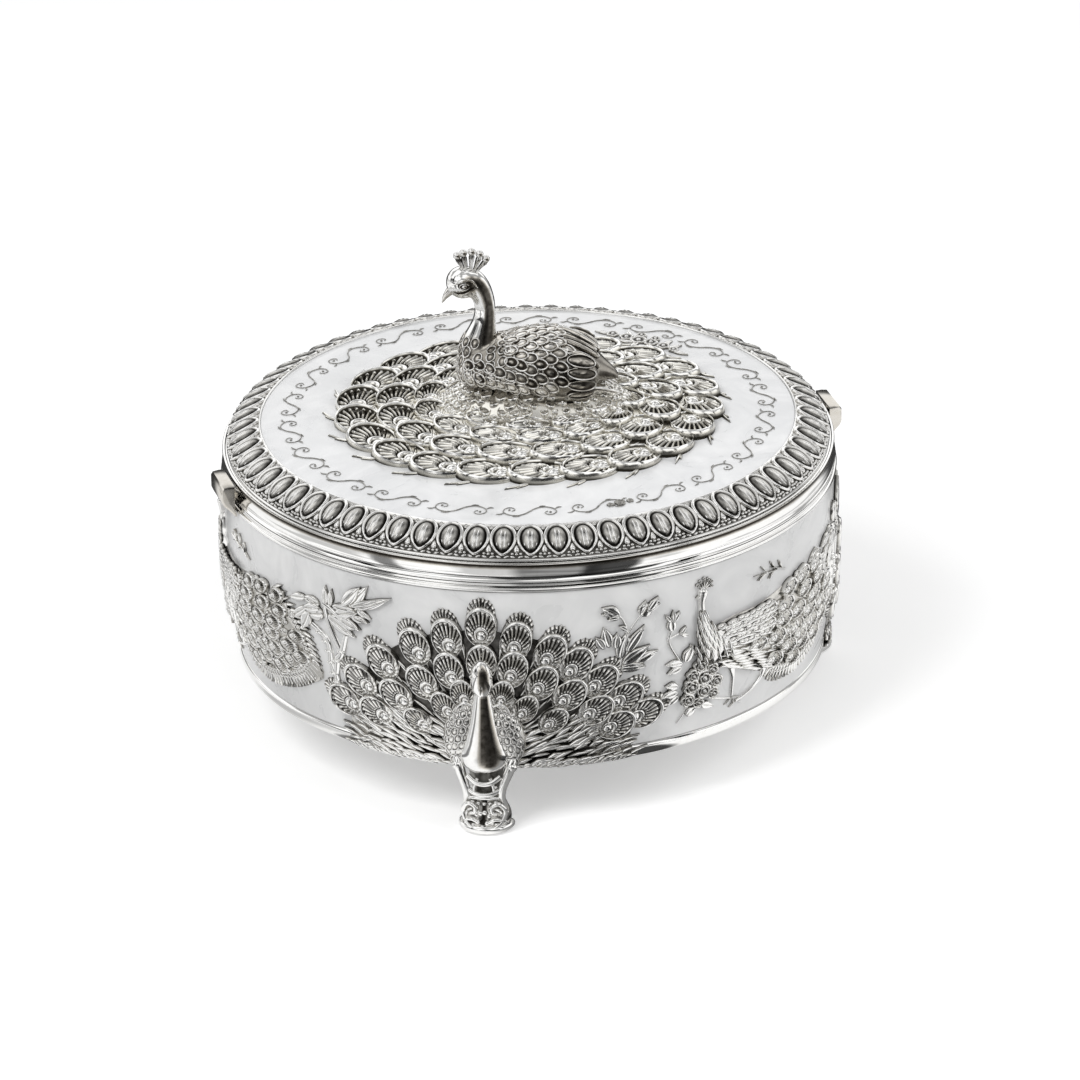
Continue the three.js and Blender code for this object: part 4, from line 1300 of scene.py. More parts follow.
@dataclass
class Drum(Assembly):
    """The round drum: its wall and floor, bottom rim, enamelled side, belt moulding, rim band and lugs."""

    underside: float = 29.0
    wall_head: float = 119.3
    band_foot: float = 124.0
    parting: float = 133.0
    wall: float = 2.5
    enamel: float = 1.0
    fit: float = 0.3
    flange_edge: float = 120.7
    floor_foot: float = 38.6
    floor_head: float = 41.1
    lug_outline: tuple[Flat, ...] = (
        (143.4, 132.9), (146.0, 133.0), (148.6, 132.6), (149.5, 131.2), (149.5, 125.4), (148.7, 123.4),
        (147.0, 121.6), (145.2, 119.6), (144.2, 118.4), (143.3, 117.4), (142.6, 117.35), (142.55, 118.6),
        (143.4, 119.1), (143.4, 125.0),
    )
    lug_middle: Flat = (145.0, 126.0)
    lug_stations: tuple[Flat, ...] = (
        (-11, 0.8), (-10.8, 0.94), (-10, 1.0), (0, 1.0), (10, 1.0), (10.8, 0.94), (11, 0.8)
    )

    def metal(self, height: float) -> float:
        """The radius of the metal under the enamel."""
        return float(wall_radius(np.array(max(height, ENAMEL_FOOT)))) - self.enamel - self.fit

    def shell(self) -> Obj:
        """Turns the metal wall with its inward flange.

        Returns:
            The wall.
        """
        foot = ENAMEL_FOOT + self.fit
        levels = [foot + (WIDEST_AT - foot) * i / 10 for i in range(11)]
        head = foot + 2.0
        inner = [(self.metal(z) - self.wall, max(z, head)) for z in levels]
        half = self.wall / 2
        top = arc((self.metal(self.parting) - half, self.parting - 0.4), (half, 0.4), 0, 180, 7)
        outer = [(self.metal(z), z) for z in levels]
        edge = self.flange_edge
        return turned("drum_shell", [(edge, foot), *outer, *top, *reversed(inner), (edge, head)])

    def floor(self) -> Obj:
        """Turns the drum's floor plate.

        Returns:
            The floor.
        """
        foot, head = self.floor_foot, self.floor_head
        edge = self.metal(foot) - self.wall - self.fit
        outline = [(0.01, foot), (edge, foot), (edge, head - 0.3), (edge - 0.3, head), (0.01, head)]
        return turned("drum_bottom", outline, closed=False)

    def rim(self) -> Obj:
        """Turns the rolled rim that closes the foot of the wall.

        Returns:
            The rim.
        """
        roll = arc((133.2, 33.0), (4.25, 4.0), -90, 0, 9)
        head = arc((135.6, 33.8), (1.85, 2.2), 0, 90, 6)
        foot = [(self.flange_edge, self.underside), (131.0, self.underside)]
        return turned("rolled_bottom_rim", [*foot, *roll, *head, (self.flange_edge, ENAMEL_FOOT)])

    def skin(self) -> Obj:
        """Turns the enamel of the side.

        Returns:
            The enamel.
        """
        foot, head = ENAMEL_FOOT + self.fit, self.wall_head - self.fit
        levels = [foot + (head - foot) * i / 18 for i in range(19)]
        outer = [(float(wall_radius(np.array(z))), z) for z in levels]
        inner = [(radius - self.enamel, z) for radius, z in outer]
        return turned("side_enamel_skin", [*outer, *reversed(inner)], 256)

    def belt(self) -> Obj:
        """Turns the bead and the step under the rim band.

        Returns:
            The moulding.
        """
        foot, head, inner = self.wall_head, self.band_foot - 0.3, DRUM_RADIUS - 1.0
        bead = arc((DRUM_RADIUS, 120.5), (1.15, 1.1), -80, 80, 9)
        step = [(142.1, 121.9), (142.0, 122.4), (142.35, 122.9), (142.35, head)]
        return turned("belt_bead", [(inner, foot), (DRUM_RADIUS, foot), *bead, *step, (inner, head)])

    def band(self) -> Obj:
        """Turns the smooth hollow band with its lips, with painted shade darkening it towards its upper edge.

        Returns:
            The band.
        """
        foot = arc((DRUM_RADIUS, 124.5), (0.65, 0.5), -90, 60, 7)
        hollow = [
            (141.95, 125.5), (141.65, 126.6), (141.5, 127.9), (141.55, 129.2), (141.75, 130.3),
            (142.0, 131.4), (142.15, 132.2),
        ]
        lip = [(142.1, 132.7), (141.9, 132.95)]
        inner = DRUM_RADIUS - 1.0
        obj = turned("hollow_band", [(inner, self.band_foot), *foot, *hollow, *lip, (inner, self.parting)])
        height = spots(obj)[:, 2]
        mark(obj, np.where(height > self.parting - 0.05, 0.0, np.clip((height - 130.4) / 1.5, 0.0, 0.95)))
        return obj

    def lug(self, name: str, azimuth: float) -> Obj:
        """Lofts a small finger lug across its width and turns it into place.

        Args:
            name: the lug's name.
            azimuth: its place in degrees.

        Returns:
            The lug.
        """
        middle, loops = np.array(self.lug_middle), []
        for x, share in self.lug_stations:
            section = middle + (np.array(self.lug_outline) - middle) * share
            section[:, 0] = np.maximum(section[:, 0], 142.55)
            loops.append(np.column_stack((np.full(len(section), x), -section[:, 0], section[:, 1])))
        obj = capped(name, loops)
        move(obj, spun(spots(obj), azimuth))
        # An even painted shade greys the polished lug, standing in for its reflections.
        mark(obj, 0.3)
        return smooth(obj, 35)

    def build(self) -> None:
        """Builds and dresses the drum."""
        silver, enamel = (Slot.SILVER, self.palette.polished), (Slot.SIDE_ENAMEL, self.palette.side_enamel)
        pieces = (
            (self.shell(), silver, "drum_wall"), (self.floor(), silver, "drum_floor"),
            (self.rim(), silver, "bottom_rim"), (self.skin(), enamel, "side_enamel"),
            (self.belt(), silver, "belt_moulding"), (self.band(), silver, "rim_band"),
            (self.lug("finger_lug_right", 105.5), silver, "handle_right"),
            (self.lug("finger_lug_left", -74.5), silver, "handle_left"),
        )
        for piece, (slot, material), node in pieces:
            finish(piece, Body.BOX, slot, material, node)


@dataclass
class Tray(Assembly):
    """The loose tray with its crossed dividers."""

    foot: float = 41.4
    head: float = 101.4
    outer: float = 132.9
    wall: float = 1.5
    lip: float = 1.2

    def pan(self) -> Obj:
        """Turns the tray's pan.

        Returns:
            The pan.
        """
        body = self.outer - self.lip
        lip = arc((self.outer - 0.9, self.head - 1.0), (0.9, 1.0), -60, 90, 7)
        inner = self.outer - self.wall - self.lip
        corner = arc((inner - 3.0, self.foot + 4.5), (3.0, 3.0), 0, -90, 7)
        outline = [
            (0.01, self.foot), (body - 2.0, self.foot), (body - 0.5, self.foot + 0.6),
            (body, self.foot + 2.0), (body, self.head - 2.6), *lip, (inner + 0.5, self.head),
            (inner, self.head - 0.5), *corner, (0.01, self.foot + 1.5),
        ]
        return turned("tray_bowl", outline, closed=False)

    def build(self) -> None:
        """Builds the pan and dresses the dividers."""
        finish(self.pan(), Body.TRAY, Slot.TRAY, self.palette.tray, "tray_pan")
        for name in ("tray_divider_long", "tray_divider_cross"):
            dress_solid(name, self.palette.tray)


@dataclass
class Lid(Assembly):
    """The lid: its pan, enamel panel, egg-and-dart border, rosette of eye feathers, scrolls and spray."""

    skirt: float = 137.2
    sheet: float = 1.5
    eggs: int = 68
    scroll_radius: float = 111.0
    scroll_units: int = 22
    rosette_stretch: float = 1.07
    bore: float = 2.4
    mound: tuple[Flat, ...] = (
        (8.0, 5.8), (32.0, 5.7), (42.0, 4.2), (57.0, 2.6), (67.0, 1.5), (77.0, 0.9), (80.5, 0.3),
        (80.5, -0.6), (8.0, -0.6),
    )
    rosette_rows: tuple[tuple[int, float, float, float, float, float], ...] = (
        (21, 74.3, 19.6, 27.0, 3.4, 0.2), (16, 57.2, 18.6, 26.0, 4.9, 0.6), (13, 42.4, 15.2, 23.0, 6.0, 0.3),
        (10, 31.0, 12.0, 19.0, 6.7, 0.0),
    )
    scroll_way: tuple[Flat, ...] = (
        (0, 0), (2.0, -2.2), (5.2, -3.9), (8.6, -3.6), (11.4, -1.6), (12.0, 1.4), (10.2, 3.5), (7.6, 3.2),
        (6.8, 1.4), (8.2, 0.3),
    )
    scroll_leaves: tuple[tuple[Flat, ...], ...] = (
        ((3.6, -3.0), (5.2, -4.6), (7.6, -5.0)), ((11.6, -1.6), (13.2, -3.0), (15.0, -3.0))
    )
    spray_blossoms: tuple[Row, ...] = (
        (53.0, 80.5, 10, 0.95), (58.8, 77.4, 50, 0.8), (47.4, 84.6, 0, 0.8), (54.6, 86.6, 30, 0.6),
        (64.6, 72.8, 20, 0.75), (41.0, 88.4, 40, 0.7), (61.0, 82.0, 15, 0.55), (69.2, 68.0, 35, 0.55),
    )
    spray_leaves: tuple[Place, ...] = (
        (46.6, 79.4, 70), (66.6, 77.6, -40), (51.0, 75.6, 150), (58.4, 72.0, 200), (36.0, 91.6, 60),
        (72.6, 64.4, -120), (48.6, 90.0, 10), (70.0, 72.6, -60),
    )

    def pan(self) -> Obj:
        """Turns the metal pan under the enamel, with its skirt.

        Returns:
            The pan.
        """
        radii = [self.bore, 30.0, 60.0, 90.0, 110.0, PANEL_RADIUS]
        top = [(r, panel_height(r) - 3.0) for r in radii]
        under = [(r, panel_height(r) - 4.5) for r in reversed(radii)]
        foot = arc((self.skirt - self.sheet / 2, 125.5), (self.sheet / 2, 0.5), 0, -180, 6)
        inner = self.skirt - self.sheet
        return turned(
            "lid_shell",
            [*top, (self.skirt - 0.4, 133.4), (self.skirt, 132.6), *foot, (inner, 132.2), *under],
        )

    def panel_enamel(self) -> Obj:
        """Turns the enamel panel.

        Returns:
            The panel.
        """
        edge = PANEL_RADIUS - 0.3
        radii = [self.bore, 10.0, 25.0, 40.0, 55.0, 70.0, 85.0, 100.0, 112.0, 120.0, edge - 0.6]
        top = [(r, panel_height(r)) for r in radii]
        under = [(r, panel_height(r) - 2.7) for r in (edge, 90.0, 60.0, 30.0, self.bore)]
        return turned("lid_enamel_panel", [*top, (edge, panel_height(edge) - 0.35), *under], 256)

    def border(self) -> Obj:
        """Builds the egg-and-dart border on its turned ring, its ground between the reliefs painted dark with
        patina and painted shade.

        Returns:
            The border.
        """
        slope = [border_slope(t) for t in np.linspace(0, 1, 12)[1:]]
        quarter = [(PANEL_RADIUS + float(out), BORDER_FOOT + float(up)) for out, up in slope]
        bead = arc((139.5, 134.0), (0.6, 0.65), 60, -70, 7)
        inner = [(137.6, 133.35), (137.6, 134.0), (PANEL_RADIUS, 142.0)]
        lip = arc((124.5, 144.3), (0.5, 0.55), 180, 40, 5)
        ring = turned("egg_and_dart_border", [*lip, *quarter, *bead, *inner])
        points = spots(ring)
        radius = np.hypot(points[:, 0], points[:, 1])
        plain = (radius > 139.62) | (radius < 124.9) | (points[:, 2] < 134.2)
        mark(ring, np.where(plain, 0.0, 0.8))
        parts = [ring]
        egg, dart, bud, nub = self.stamps.egg, self.stamps.dart, self.stamps.scale, self.stamps.nub
        pitch = 2 * math.pi * BORDER_RADIUS / self.eggs
        for i in range(self.eggs):
            parts.append(egg.press(on_border, (i * pitch, 9.5), 0.0, (1.0, 1.04, 0.95), 0.1))
            parts.append(dart.press(on_border, ((i + 0.5) * pitch, 14.6), 0.0, (0.8, 0.72, 1.0), 0.2))
            parts.append(bud.press(on_border, ((i + 0.5) * pitch, 1.9), 180.0, (0.5, 0.55, 0.8), 0.1))
            for share, turn in ((0.14, -28.0), (0.36, 24.0), (0.64, -24.0), (0.86, 28.0)):
                parts.append(nub.press(on_border, ((i + share) * pitch, 19.4), turn, (0.95, 0.85, 1.0), 0.1))
        return joined("egg_and_dart_border", parts)

    def rosette_ground(self, points: Points) -> Points:
        """Lies on the panel, stretched a little along the bird."""
        return on_panel(points * np.array((self.rosette_stretch, 1.0, 1.0)))

    @staticmethod
    def swirl(azimuth: float, radius: float, outward: float) -> tuple[Flat, float]:
        """Gives a place of the rosette and the turn of a tip that points clockwise and a little outward.

        Args:
            azimuth: degrees from the front.
            radius: millimetres from the middle.
            outward: how many degrees the tip points outward.

        Returns:
            The place and the turn.
        """
        turn, lean = math.radians(azimuth), math.radians(outward)
        around = (-math.cos(turn), -math.sin(turn))
        away = (math.sin(turn), -math.cos(turn))
        way = [math.cos(lean) * a + math.sin(lean) * b for a, b in zip(around, away)]
        return (radius * away[0], radius * away[1]), math.degrees(math.atan2(-way[0], way[1]))

    @staticmethod
    def paint_side_shade(old: Points, points: Points) -> Points:
        """Paints shade into the rosette's reliefs, darkest at the left and lightest near the bird.

        Args:
            old: the marks.
            points: their places.

        Returns:
            The new marks.
        """
        azimuth = np.degrees(np.arctan2(points[:, 0], -points[:, 1]))
        share = np.interp(
            azimuth, (-180, -130, -60, -10, 60, 110, 180), (0.85, 1.0, 1.05, 0.9, 1.0, 1.0, 0.85)
        )
        near = np.clip((np.hypot(points[:, 0], points[:, 1]) - 36.0) / 20.0, 0.0, 1.0)
        return np.where(old > 0.5, 1.6, 1.0) * old * share * (0.7 + 0.3 * near)

    def rosette(self) -> Obj:
        """Lays four rings of eye feathers that overlap clockwise on a low mound, with wisps beyond them.

        Returns:
            The rosette.
        """
        mound = turned("feather_rosette_mound", self.mound, 96)
        move(mound, self.rosette_ground(spots(mound)))
        # The mound between the feathers gets patina with painted shade.
        mark(mound, 0.35)
        parts, eye, blade = [mound], self.stamps.eye, self.stamps.blade
        sides, leans = (-180, -120, 0, 60, 90, 125, 180), (15, 2, 3, 12, 26, 40, 15)
        for count, radius, wide, long, tip, start in self.rosette_rows:
            for i in range(count):
                azimuth = (i + start) * 360.0 / count
                lean = float(np.interp((azimuth + 180) % 360 - 180, sides, leans))
                at, turn = self.swirl(azimuth, radius, lean)
                size = (wide / 14.0, long / 18.0, 1.6)
                parts.append(eye.press(self.rosette_ground, at, turn, size, tip - 2.9, 0.085))
        rim = self.rosette_rows[0][0]
        for i in range(rim):
            for step, reach, long, lean in ((0.62, 85.6, 0.85, 30), (0.72, 84.8, 0.55, 42)):
                at, turn = self.swirl((i + 0.2 + step) * 360.0 / rim, reach, lean)
                parts.append(blade.press(self.rosette_ground, at, turn, (0.75, long, 0.9), 0.35))
        for row, (count, radius, _, _, tip, start) in enumerate(self.rosette_rows[:3]):
            for i in range(count):
                azimuth, reach = (i + start + 0.6) * 360.0 / count, radius - 9.2 + 1.2 * shake(i)
                at, turn = self.swirl(azimuth, reach, 8 + 10 * shake(i * 3))
                parts.append(blade.press(
                    self.rosette_ground, at, turn, (0.8, 0.85, 1.0), tip - 2.2 + 0.3 * row, 0.05
                ))
        return retouch(joined("eye_feather_rosette", parts), self.paint_side_shade)

    def scroll(self) -> Stamp:
        """Models one scroll of the border: a wave whose ends curl in, with its dots and leaves.

        Returns:
            The stamp.
        """
        parts = []
        for side in (-1, 1):
            stroke = [(side * x, side * y, 0.1) for x, y in self.scroll_way]
            parts.append(strand("scroll_stroke", stroke, [0.3 - 0.003 * n for n in range(40)], 5))
            parts.append(ball("scroll_dot", (side * 9.3, side * 1.3, 0.1), (0.6, 0.6, 0.4)))
            for leaf in self.scroll_leaves:
                vein = [(side * x, side * y, 0.1) for x, y in leaf]
                parts.append(strand("scroll_leaf", vein, (0.15, 0.22, 0.32, 0.36, 0.3, 0.2, 0.1), 5))
        return self.stamps.keep(*parts)

    def scroll_ground(self, points: Points) -> Points:
        """Bends a straight border round the lid.

        Args:
            points: places along and across the border and above it.

        Returns:
            The places on the lid.
        """
        around = points[:, 0] / self.scroll_radius
        radius = self.scroll_radius + points[:, 1]
        high = np.maximum(points[:, 2], -0.2) + 0.2
        return on_panel(np.column_stack((radius * np.sin(around), -radius * np.cos(around), high)))

    def scrolls(self) -> Obj:
        """Lays the ring of scrolls and its small flower.

        Returns:
            The scroll border.
        """
        unit, span = self.scroll(), 2 * math.pi * self.scroll_radius / self.scroll_units
        parts = [unit.press(self.scroll_ground, (i * span, 0.0)) for i in range(self.scroll_units)]
        for at, size in (((41.0, -103.6), 0.62), ((45.6, -101.4), 0.4), ((36.6, -105.6), 0.4)):
            parts.append(self.stamps.blossom.press(on_panel, at, 20.0, (size, size, size), 0.3))
        whole = joined("scroll_vine_border", parts)
        mark(whole, 0.6)
        return whole

    def spray(self) -> Obj:
        """Lays the small flower spray near the rosette.

        Returns:
            The spray.
        """
        blossom, leaf, parts = self.stamps.blossom, self.stamps.leaf, []
        for x, y, turn, size in self.spray_blossoms:
            parts.append(blossom.press(on_panel, (x, y), turn, (size, size, 0.9), 0.5))
        for x, y, turn in self.spray_leaves:
            parts.append(leaf.press(on_panel, (x, y), turn, (0.6, 0.5, 0.8), 0.4))
        return joined("lid_flower_spray", parts)

    def build(self) -> None:
        """Builds and dresses the lid."""
        palette = self.palette
        finish(self.pan(), Body.LID, Slot.SILVER, palette.polished, "lid_pan")
        finish(self.panel_enamel(), Body.LID, Slot.LID_ENAMEL, palette.lid_enamel, "lid_enamel")
        finish(self.border(), Body.LID, Slot.CAST, palette.cast, "egg_ring")
        finish(self.rosette(), Body.LID, Slot.CAST, palette.warm, "feather_rosette")
        finish(self.scrolls(), Body.LID, Slot.CAST, palette.cast, "scroll_border")
        finish(self.spray(), Body.LID, Slot.CAST, palette.cast, "lid_spray")
        for name in ("knob_screw", "knob_washer"):
            dress_solid(name, palette.steel)


# Reliefs of the wall, made on the front and turned to their sectors


def ribbon(stations: Sequence[Sequence[float]], rise: float, count: int = 12, recess: float = 0.0) -> Obj:
    """Lofts a domed strip along a curve on the wall.

    Args:
        stations: azimuth from the foot, height and half width in millimetres of its points.
        rise: how high it is.
        count: stations of the finished strip.
        recess: how dark and dull its patina and painted shade make it.

    Returns:
        The strip.
    """
    line = curved([(*spot(azimuth, height), half) for azimuth, height, half in stations], count)
    ways = np.gradient(line[:, :2], axis=0)
    ways /= np.linalg.norm(ways, axis=1)[:, None] + 1e-9
    side_dome = ((-1, -0.7), (-0.96, 0.3), (-0.75, 0.68), (-0.4, 0.92))
    section = np.array((*side_dome, (0, 1), *((-x, y) for x, y in reversed(side_dome)), (0, -0.7)))
    loops = []
    for (x, y, half), (ahead, up) in zip(line, ways):
        half = max(half, 0.05)
        high = min(rise, 1.2 * half + 0.2)
        out = np.where(section[:, 1] > 0, section[:, 1] * high, -0.6)
        across, along = x + section[:, 0] * up * half, y - section[:, 0] * ahead * half
        loops.append(on_wall(np.column_stack((across, along, out))))
    obj = capped("wall_ribbon", loops)
    mark(obj, recess)
    return obj


@dataclass
class FeatherFan(Assembly):
    """The fan of eye feathers behind a foot's peacock; places are azimuth from the foot and height."""

    outer: tuple[Flat, ...] = (
        (0, 102.5), (-6.3, 96), (6.3, 96), (-12.4, 89.7), (12.4, 89.7), (-19, 79), (17, 83), (-24, 66.5),
        (21.5, 73.5), (-28, 54), (26.2, 63.5), (30, 53.5),
    )
    middle: tuple[Flat, ...] = (
        (0, 85), (-6, 80), (5.6, 82), (-11.2, 72.5), (10.8, 75), (-16.5, 63.5), (15.8, 68), (-21, 52.5),
        (20.6, 59), (24.6, 50),
    )
    inner: tuple[Flat, ...] = (
        (-3.6, 68.5), (3.6, 69), (-7.2, 61.5), (7.7, 62), (-12.4, 52), (12.8, 55.5), (-2.8, 57), (2.8, 57)
    )
    width: float = 69.0
    rise: float = 63.0

    def build(self) -> Obj:
        """Lays the fan's mound, eyes, fringes and low grass-like feathers.

        Returns:
            The fan at the front of the box.
        """
        parts = [self.mound()]
        rows = (
            (self.outer, (1.04, 1.06), 1.2, True), (self.middle, (1.0, 1.02), 1.9, False),
            (self.inner, (0.8, 0.86), 2.4, False),
        )
        for places, (wide, long), lift, fringed in rows:
            for i, place in enumerate(places):
                x, y = spot(*place)
                turn = math.degrees(math.atan2(-x, y + 6.0))
                parts.append(self.stamps.eye.press(
                    on_wall, (x, y), turn, (wide, long, 1.0), lift + 0.2 * (i % 2), 0.02
                ))
                if fringed:
                    angle = math.radians(turn)
                    at = (x - 4.6 * math.sin(angle), y + 4.6 * math.cos(angle))
                    parts.append(self.stamps.fringe.press(on_wall, at, turn, (1.0, 1.05, 1.1), lift - 0.9))
        return joined("eye_feather_fan", [*parts, *self.barbs(), *self.grass(), *self.beads()])

    def mound(self) -> Obj:
        """Models the low ground under the feathers.

        Returns:
            The mound.
        """
        wide, high = self.width, self.rise
        table = [(wide, high, 1.0, -0.5), (wide, high, 1.0, 0.3)]
        for share in (0.94, 0.75, 0.5, 0.25):
            table.append((wide * share, high * share, 1.0, 0.9 + 0.9 * (1 - share)))
        obj = rings("fan_mound", 72, [*table, (0.5, 0.5, 1.0, 2.0)])
        points = spots(obj)
        points[:, 1] = np.maximum(points[:, 1], -5.0)
        move(obj, on_wall(points))
        # The ground between the feathers gets patina with painted shade, lighter at the low sides.
        mark(obj, np.where((np.abs(points[:, 0]) > 42.0) & (points[:, 1] < 18.0), 0.3, 0.8))
        close_up(obj)
        return smooth(obj, 60)

    def barbs(self) -> list[Obj]:
        """Lays the barbs of the feathers' shafts between the eyes.

        Returns:
            The barbs.
        """
        found = []
        for row, reach in enumerate((26.0, 36.0, 46.0, 56.0)):
            count = 17 + 4 * row
            for i in range(count):
                turn = -78.0 + 156.0 * (i + 0.5 * (row % 2)) / (count - 1) + 2.0 * shake(i + row)
                angle = math.radians(turn)
                at = (reach * math.sin(angle), reach * math.cos(angle))
                found.append(self.stamps.blade.press(
                    on_wall, at, -turn, (1.0, 0.85, 1.0), 1.5 - 0.12 * row, 0.02
                ))
        return found

    def grass(self) -> list[Obj]:
        """Lays the long pointed feathers low at both sides.

        Returns:
            The feathers.
        """
        found, blade = [], self.stamps.blade
        for side in (-1, 1):
            for row in range(10):
                for step in range(11):
                    seed = side * 50 + row * 11 + step
                    x = side * (16.0 + step * 5.3 + 2.6 * (row % 2) + 1.4 * shake(seed))
                    y = -5.0 + row * 3.1 + 0.9 * shake(seed + 7)
                    if y > 11.0 + 0.27 * abs(x) + 2.0 * shake(seed + 2) or abs(x) > 71.0 - 0.3 * y:
                        continue
                    turn = -side * (82 - row * 3.2 + 10 * shake(seed + 3))
                    size = (1.3 + 0.35 * shake(seed + 5), 0.66 + 0.2 * shake(seed + 9) + 0.02 * row, 1.5)
                    lift = 2.9 - 0.13 * row + 0.25 * shake(seed + 1) - 1.8 * eased(abs(x), 42.0, 22.0)
                    found.append(blade.press(on_wall, (x, y), turn, size, lift, -0.03))
            for i in range(30):
                at = (side * (20.0 + 1.6 * i + 1.0 * shake(i)), -4.6 + 1.6 * abs(shake(i + 3)))
                found.append(blade.press(
                    on_wall, at, -side * (60 + 14 * shake(i + 6)), (1.2, 0.34, 1.2), 2.6
                ))
        return found

    def beads(self) -> list[Obj]:
        """Lays the small feathers that fill the gaps close to the peacock.

        Returns:
            The small feathers.
        """
        found = []
        for i in range(40):
            at = (shake(i * 3.1) * 17.0, shake(i * 5.7) * 13.0 + 22.0)
            found.append(self.stamps.scale.press(on_wall, at, 60 * shake(i * 2.3), (1.0, 1.2, 1.0), 2.0))
        return found


@dataclass
class Plants(Assembly):
    """The bamboo, the leafy branch and the flower spray; places are azimuth from the foot and height."""

    bamboo_stems: tuple[tuple[Place, ...], ...] = (
        (
            (-36, 87.5, 1.6), (-32.7, 83.6, 1.7), (-31.4, 79, 1.8), (-31, 69, 1.8), (-30.1, 64, 2.0),
            (-29.9, 57, 1.9),
        ),
        ((-32.2, 99.5, 1.4), (-31.6, 93, 1.5), (-30.4, 86, 1.6), (-28.6, 78, 1.4)),
        ((-27.2, 87.3, 1.5), (-28.5, 77, 1.9), (-29.6, 73, 2.0), (-30.1, 66, 1.8)),
        ((-32.4, 99.6, 1.2), (-30.2, 97.6, 1.4), (-28.2, 95.2, 1.1), (-24.6, 102, 0.9), (-23.6, 103, 0.6)),
    )
    bamboo_leaves: tuple[Cone, ...] = (
        (-33.3, 98.4, -37.6, 99.6, 1.9), (-36.8, 99.4, -41.3, 96.8, 1.5), (-33.1, 96.6, -37.6, 94.4, 2.0),
        (-36.6, 94.8, -41.3, 85.9, 1.7), (-32.3, 94.6, -36.6, 91.8, 2.6), (-35.8, 93.0, -37.8, 83.2, 2.5),
        (-31.9, 99.6, -31.7, 109.4, 1.5), (-30.6, 99.8, -30.2, 108.6, 1.2),
        (-27.6, 102.6, -23.5, 113.8, 2.3), (-26.2, 102.2, -21.9, 114.9, 2.4),
        (-24.2, 102.4, -17.1, 111.2, 1.7), (-25.5, 103.0, -19.0, 109.8, 1.2),
        (-24.4, 101.4, -21.4, 98.6, 1.3), (-25.6, 97.6, -21.8, 96.6, 1.4), (-28.2, 95.0, -23.6, 92.0, 2.0),
        (-31.2, 94.6, -24.9, 87.2, 2.5), (-29.4, 96.8, -24.0, 100.5, 2.2), (-29.8, 100.6, -24.4, 101.3, 1.5),
    )
    joints: tuple[Flat, ...] = (
        (-33.4, 84.4), (-32.0, 81.0), (-31.3, 76.5), (-31.0, 71.0), (-30.6, 65.5), (-28.4, 78.0),
        (-29.6, 72.6), (-30.0, 61.5),
    )
    branch_stems: tuple[tuple[Place, ...], ...] = (
        ((25.4, 78, 1.2), (26.2, 88, 1.0), (26.8, 96, 0.7), (25.8, 103, 0.6), (23.7, 107, 0.5)),
        ((26.9, 94, 0.8), (28.2, 99, 0.5), (29.6, 103, 0.5)),
        ((26.2, 80, 1.0), (29.5, 81.5, 0.6), (32.2, 83, 0.4)),
    )
    branch_leaves: tuple[Cone, ...] = (
        (25.3, 83.0, 26.9, 96.0, 2.6), (26.6, 86.0, 30.2, 98.2, 1.9), (25.7, 80.4, 31.2, 87.9, 2.2),
        (28.2, 80.0, 32.9, 84.2, 1.8), (25.4, 77.4, 30.4, 77.4, 1.5), (25.5, 79.0, 30.0, 78.6, 1.2),
        (23.4, 89.4, 22.3, 99.8, 2.2), (24.5, 88.6, 24.9, 96.4, 1.9), (22.4, 89.4, 20.7, 95.6, 1.7),
        (29.5, 102.8, 31.3, 108.2, 2.7), (30.6, 104.6, 33.3, 107.6, 1.0), (30.8, 105.2, 33.0, 111.2, 1.3),
        (29.4, 104.4, 30.6, 110.2, 1.1), (25.4, 104.8, 22.0, 109.6, 2.2), (25.2, 104.0, 23.0, 103.6, 0.9),
        (24.6, 106.0, 24.2, 109.6, 0.9), (24.2, 105.4, 21.9, 106.4, 0.9), (26.7, 97.4, 25.2, 99.6, 0.9),
    )
    twig_stems: tuple[tuple[Place, ...], ...] = (
        ((37.8, 74, 0.8), (35.6, 83, 0.8), (35.0, 88, 0.9), (35.7, 93, 0.8), (36.0, 98, 0.6)),
        ((35.0, 88, 0.6), (36.6, 89.4, 0.5), (38.2, 90.2, 0.4)),
        ((39.8, 54, 0.9), (38.8, 48.5, 0.7), (37.2, 43, 0.5)),
        ((44.5, 51.5, 0.6), (47, 49.5, 0.5), (49.4, 47.6, 0.5)),
    )
    twig_leaves: tuple[Cone, ...] = (
        (35.7, 92.0, 35.4, 98.6, 1.9), (35.8, 96.4, 37.3, 101.2, 0.9), (35.9, 97.0, 35.9, 102.6, 0.9),
        (35.6, 96.4, 34.3, 100.8, 0.9), (37.2, 89.4, 38.6, 93.0, 0.8), (37.4, 89.6, 38.9, 88.2, 0.8),
        (37.8, 74.6, 34.2, 75.4, 1.6), (37.6, 72.8, 34.6, 70.6, 1.4), (38.2, 75.0, 39.8, 82.6, 2.1),
        (40.6, 76.6, 39.4, 83.2, 1.5), (36.9, 63.0, 34.2, 64.4, 1.7), (36.8, 60.4, 33.2, 59.0, 1.6),
        (37.2, 57.6, 34.8, 54.4, 1.5), (38.9, 46.4, 41.0, 50.0, 1.8), (42.0, 50.4, 45.0, 47.6, 1.5),
    )
    blossoms: tuple[Place, ...] = (
        (41.6, 70.8, 0.92), (44.2, 67.4, 0.82), (39.9, 67.0, 0.8), (42.5, 64.0, 1.12), (45.2, 60.8, 0.86),
        (39.6, 61.4, 1.0), (42.5, 57.4, 0.98), (44.6, 54.8, 0.78), (38.9, 55.0, 0.84), (41.4, 52.0, 0.72),
    )

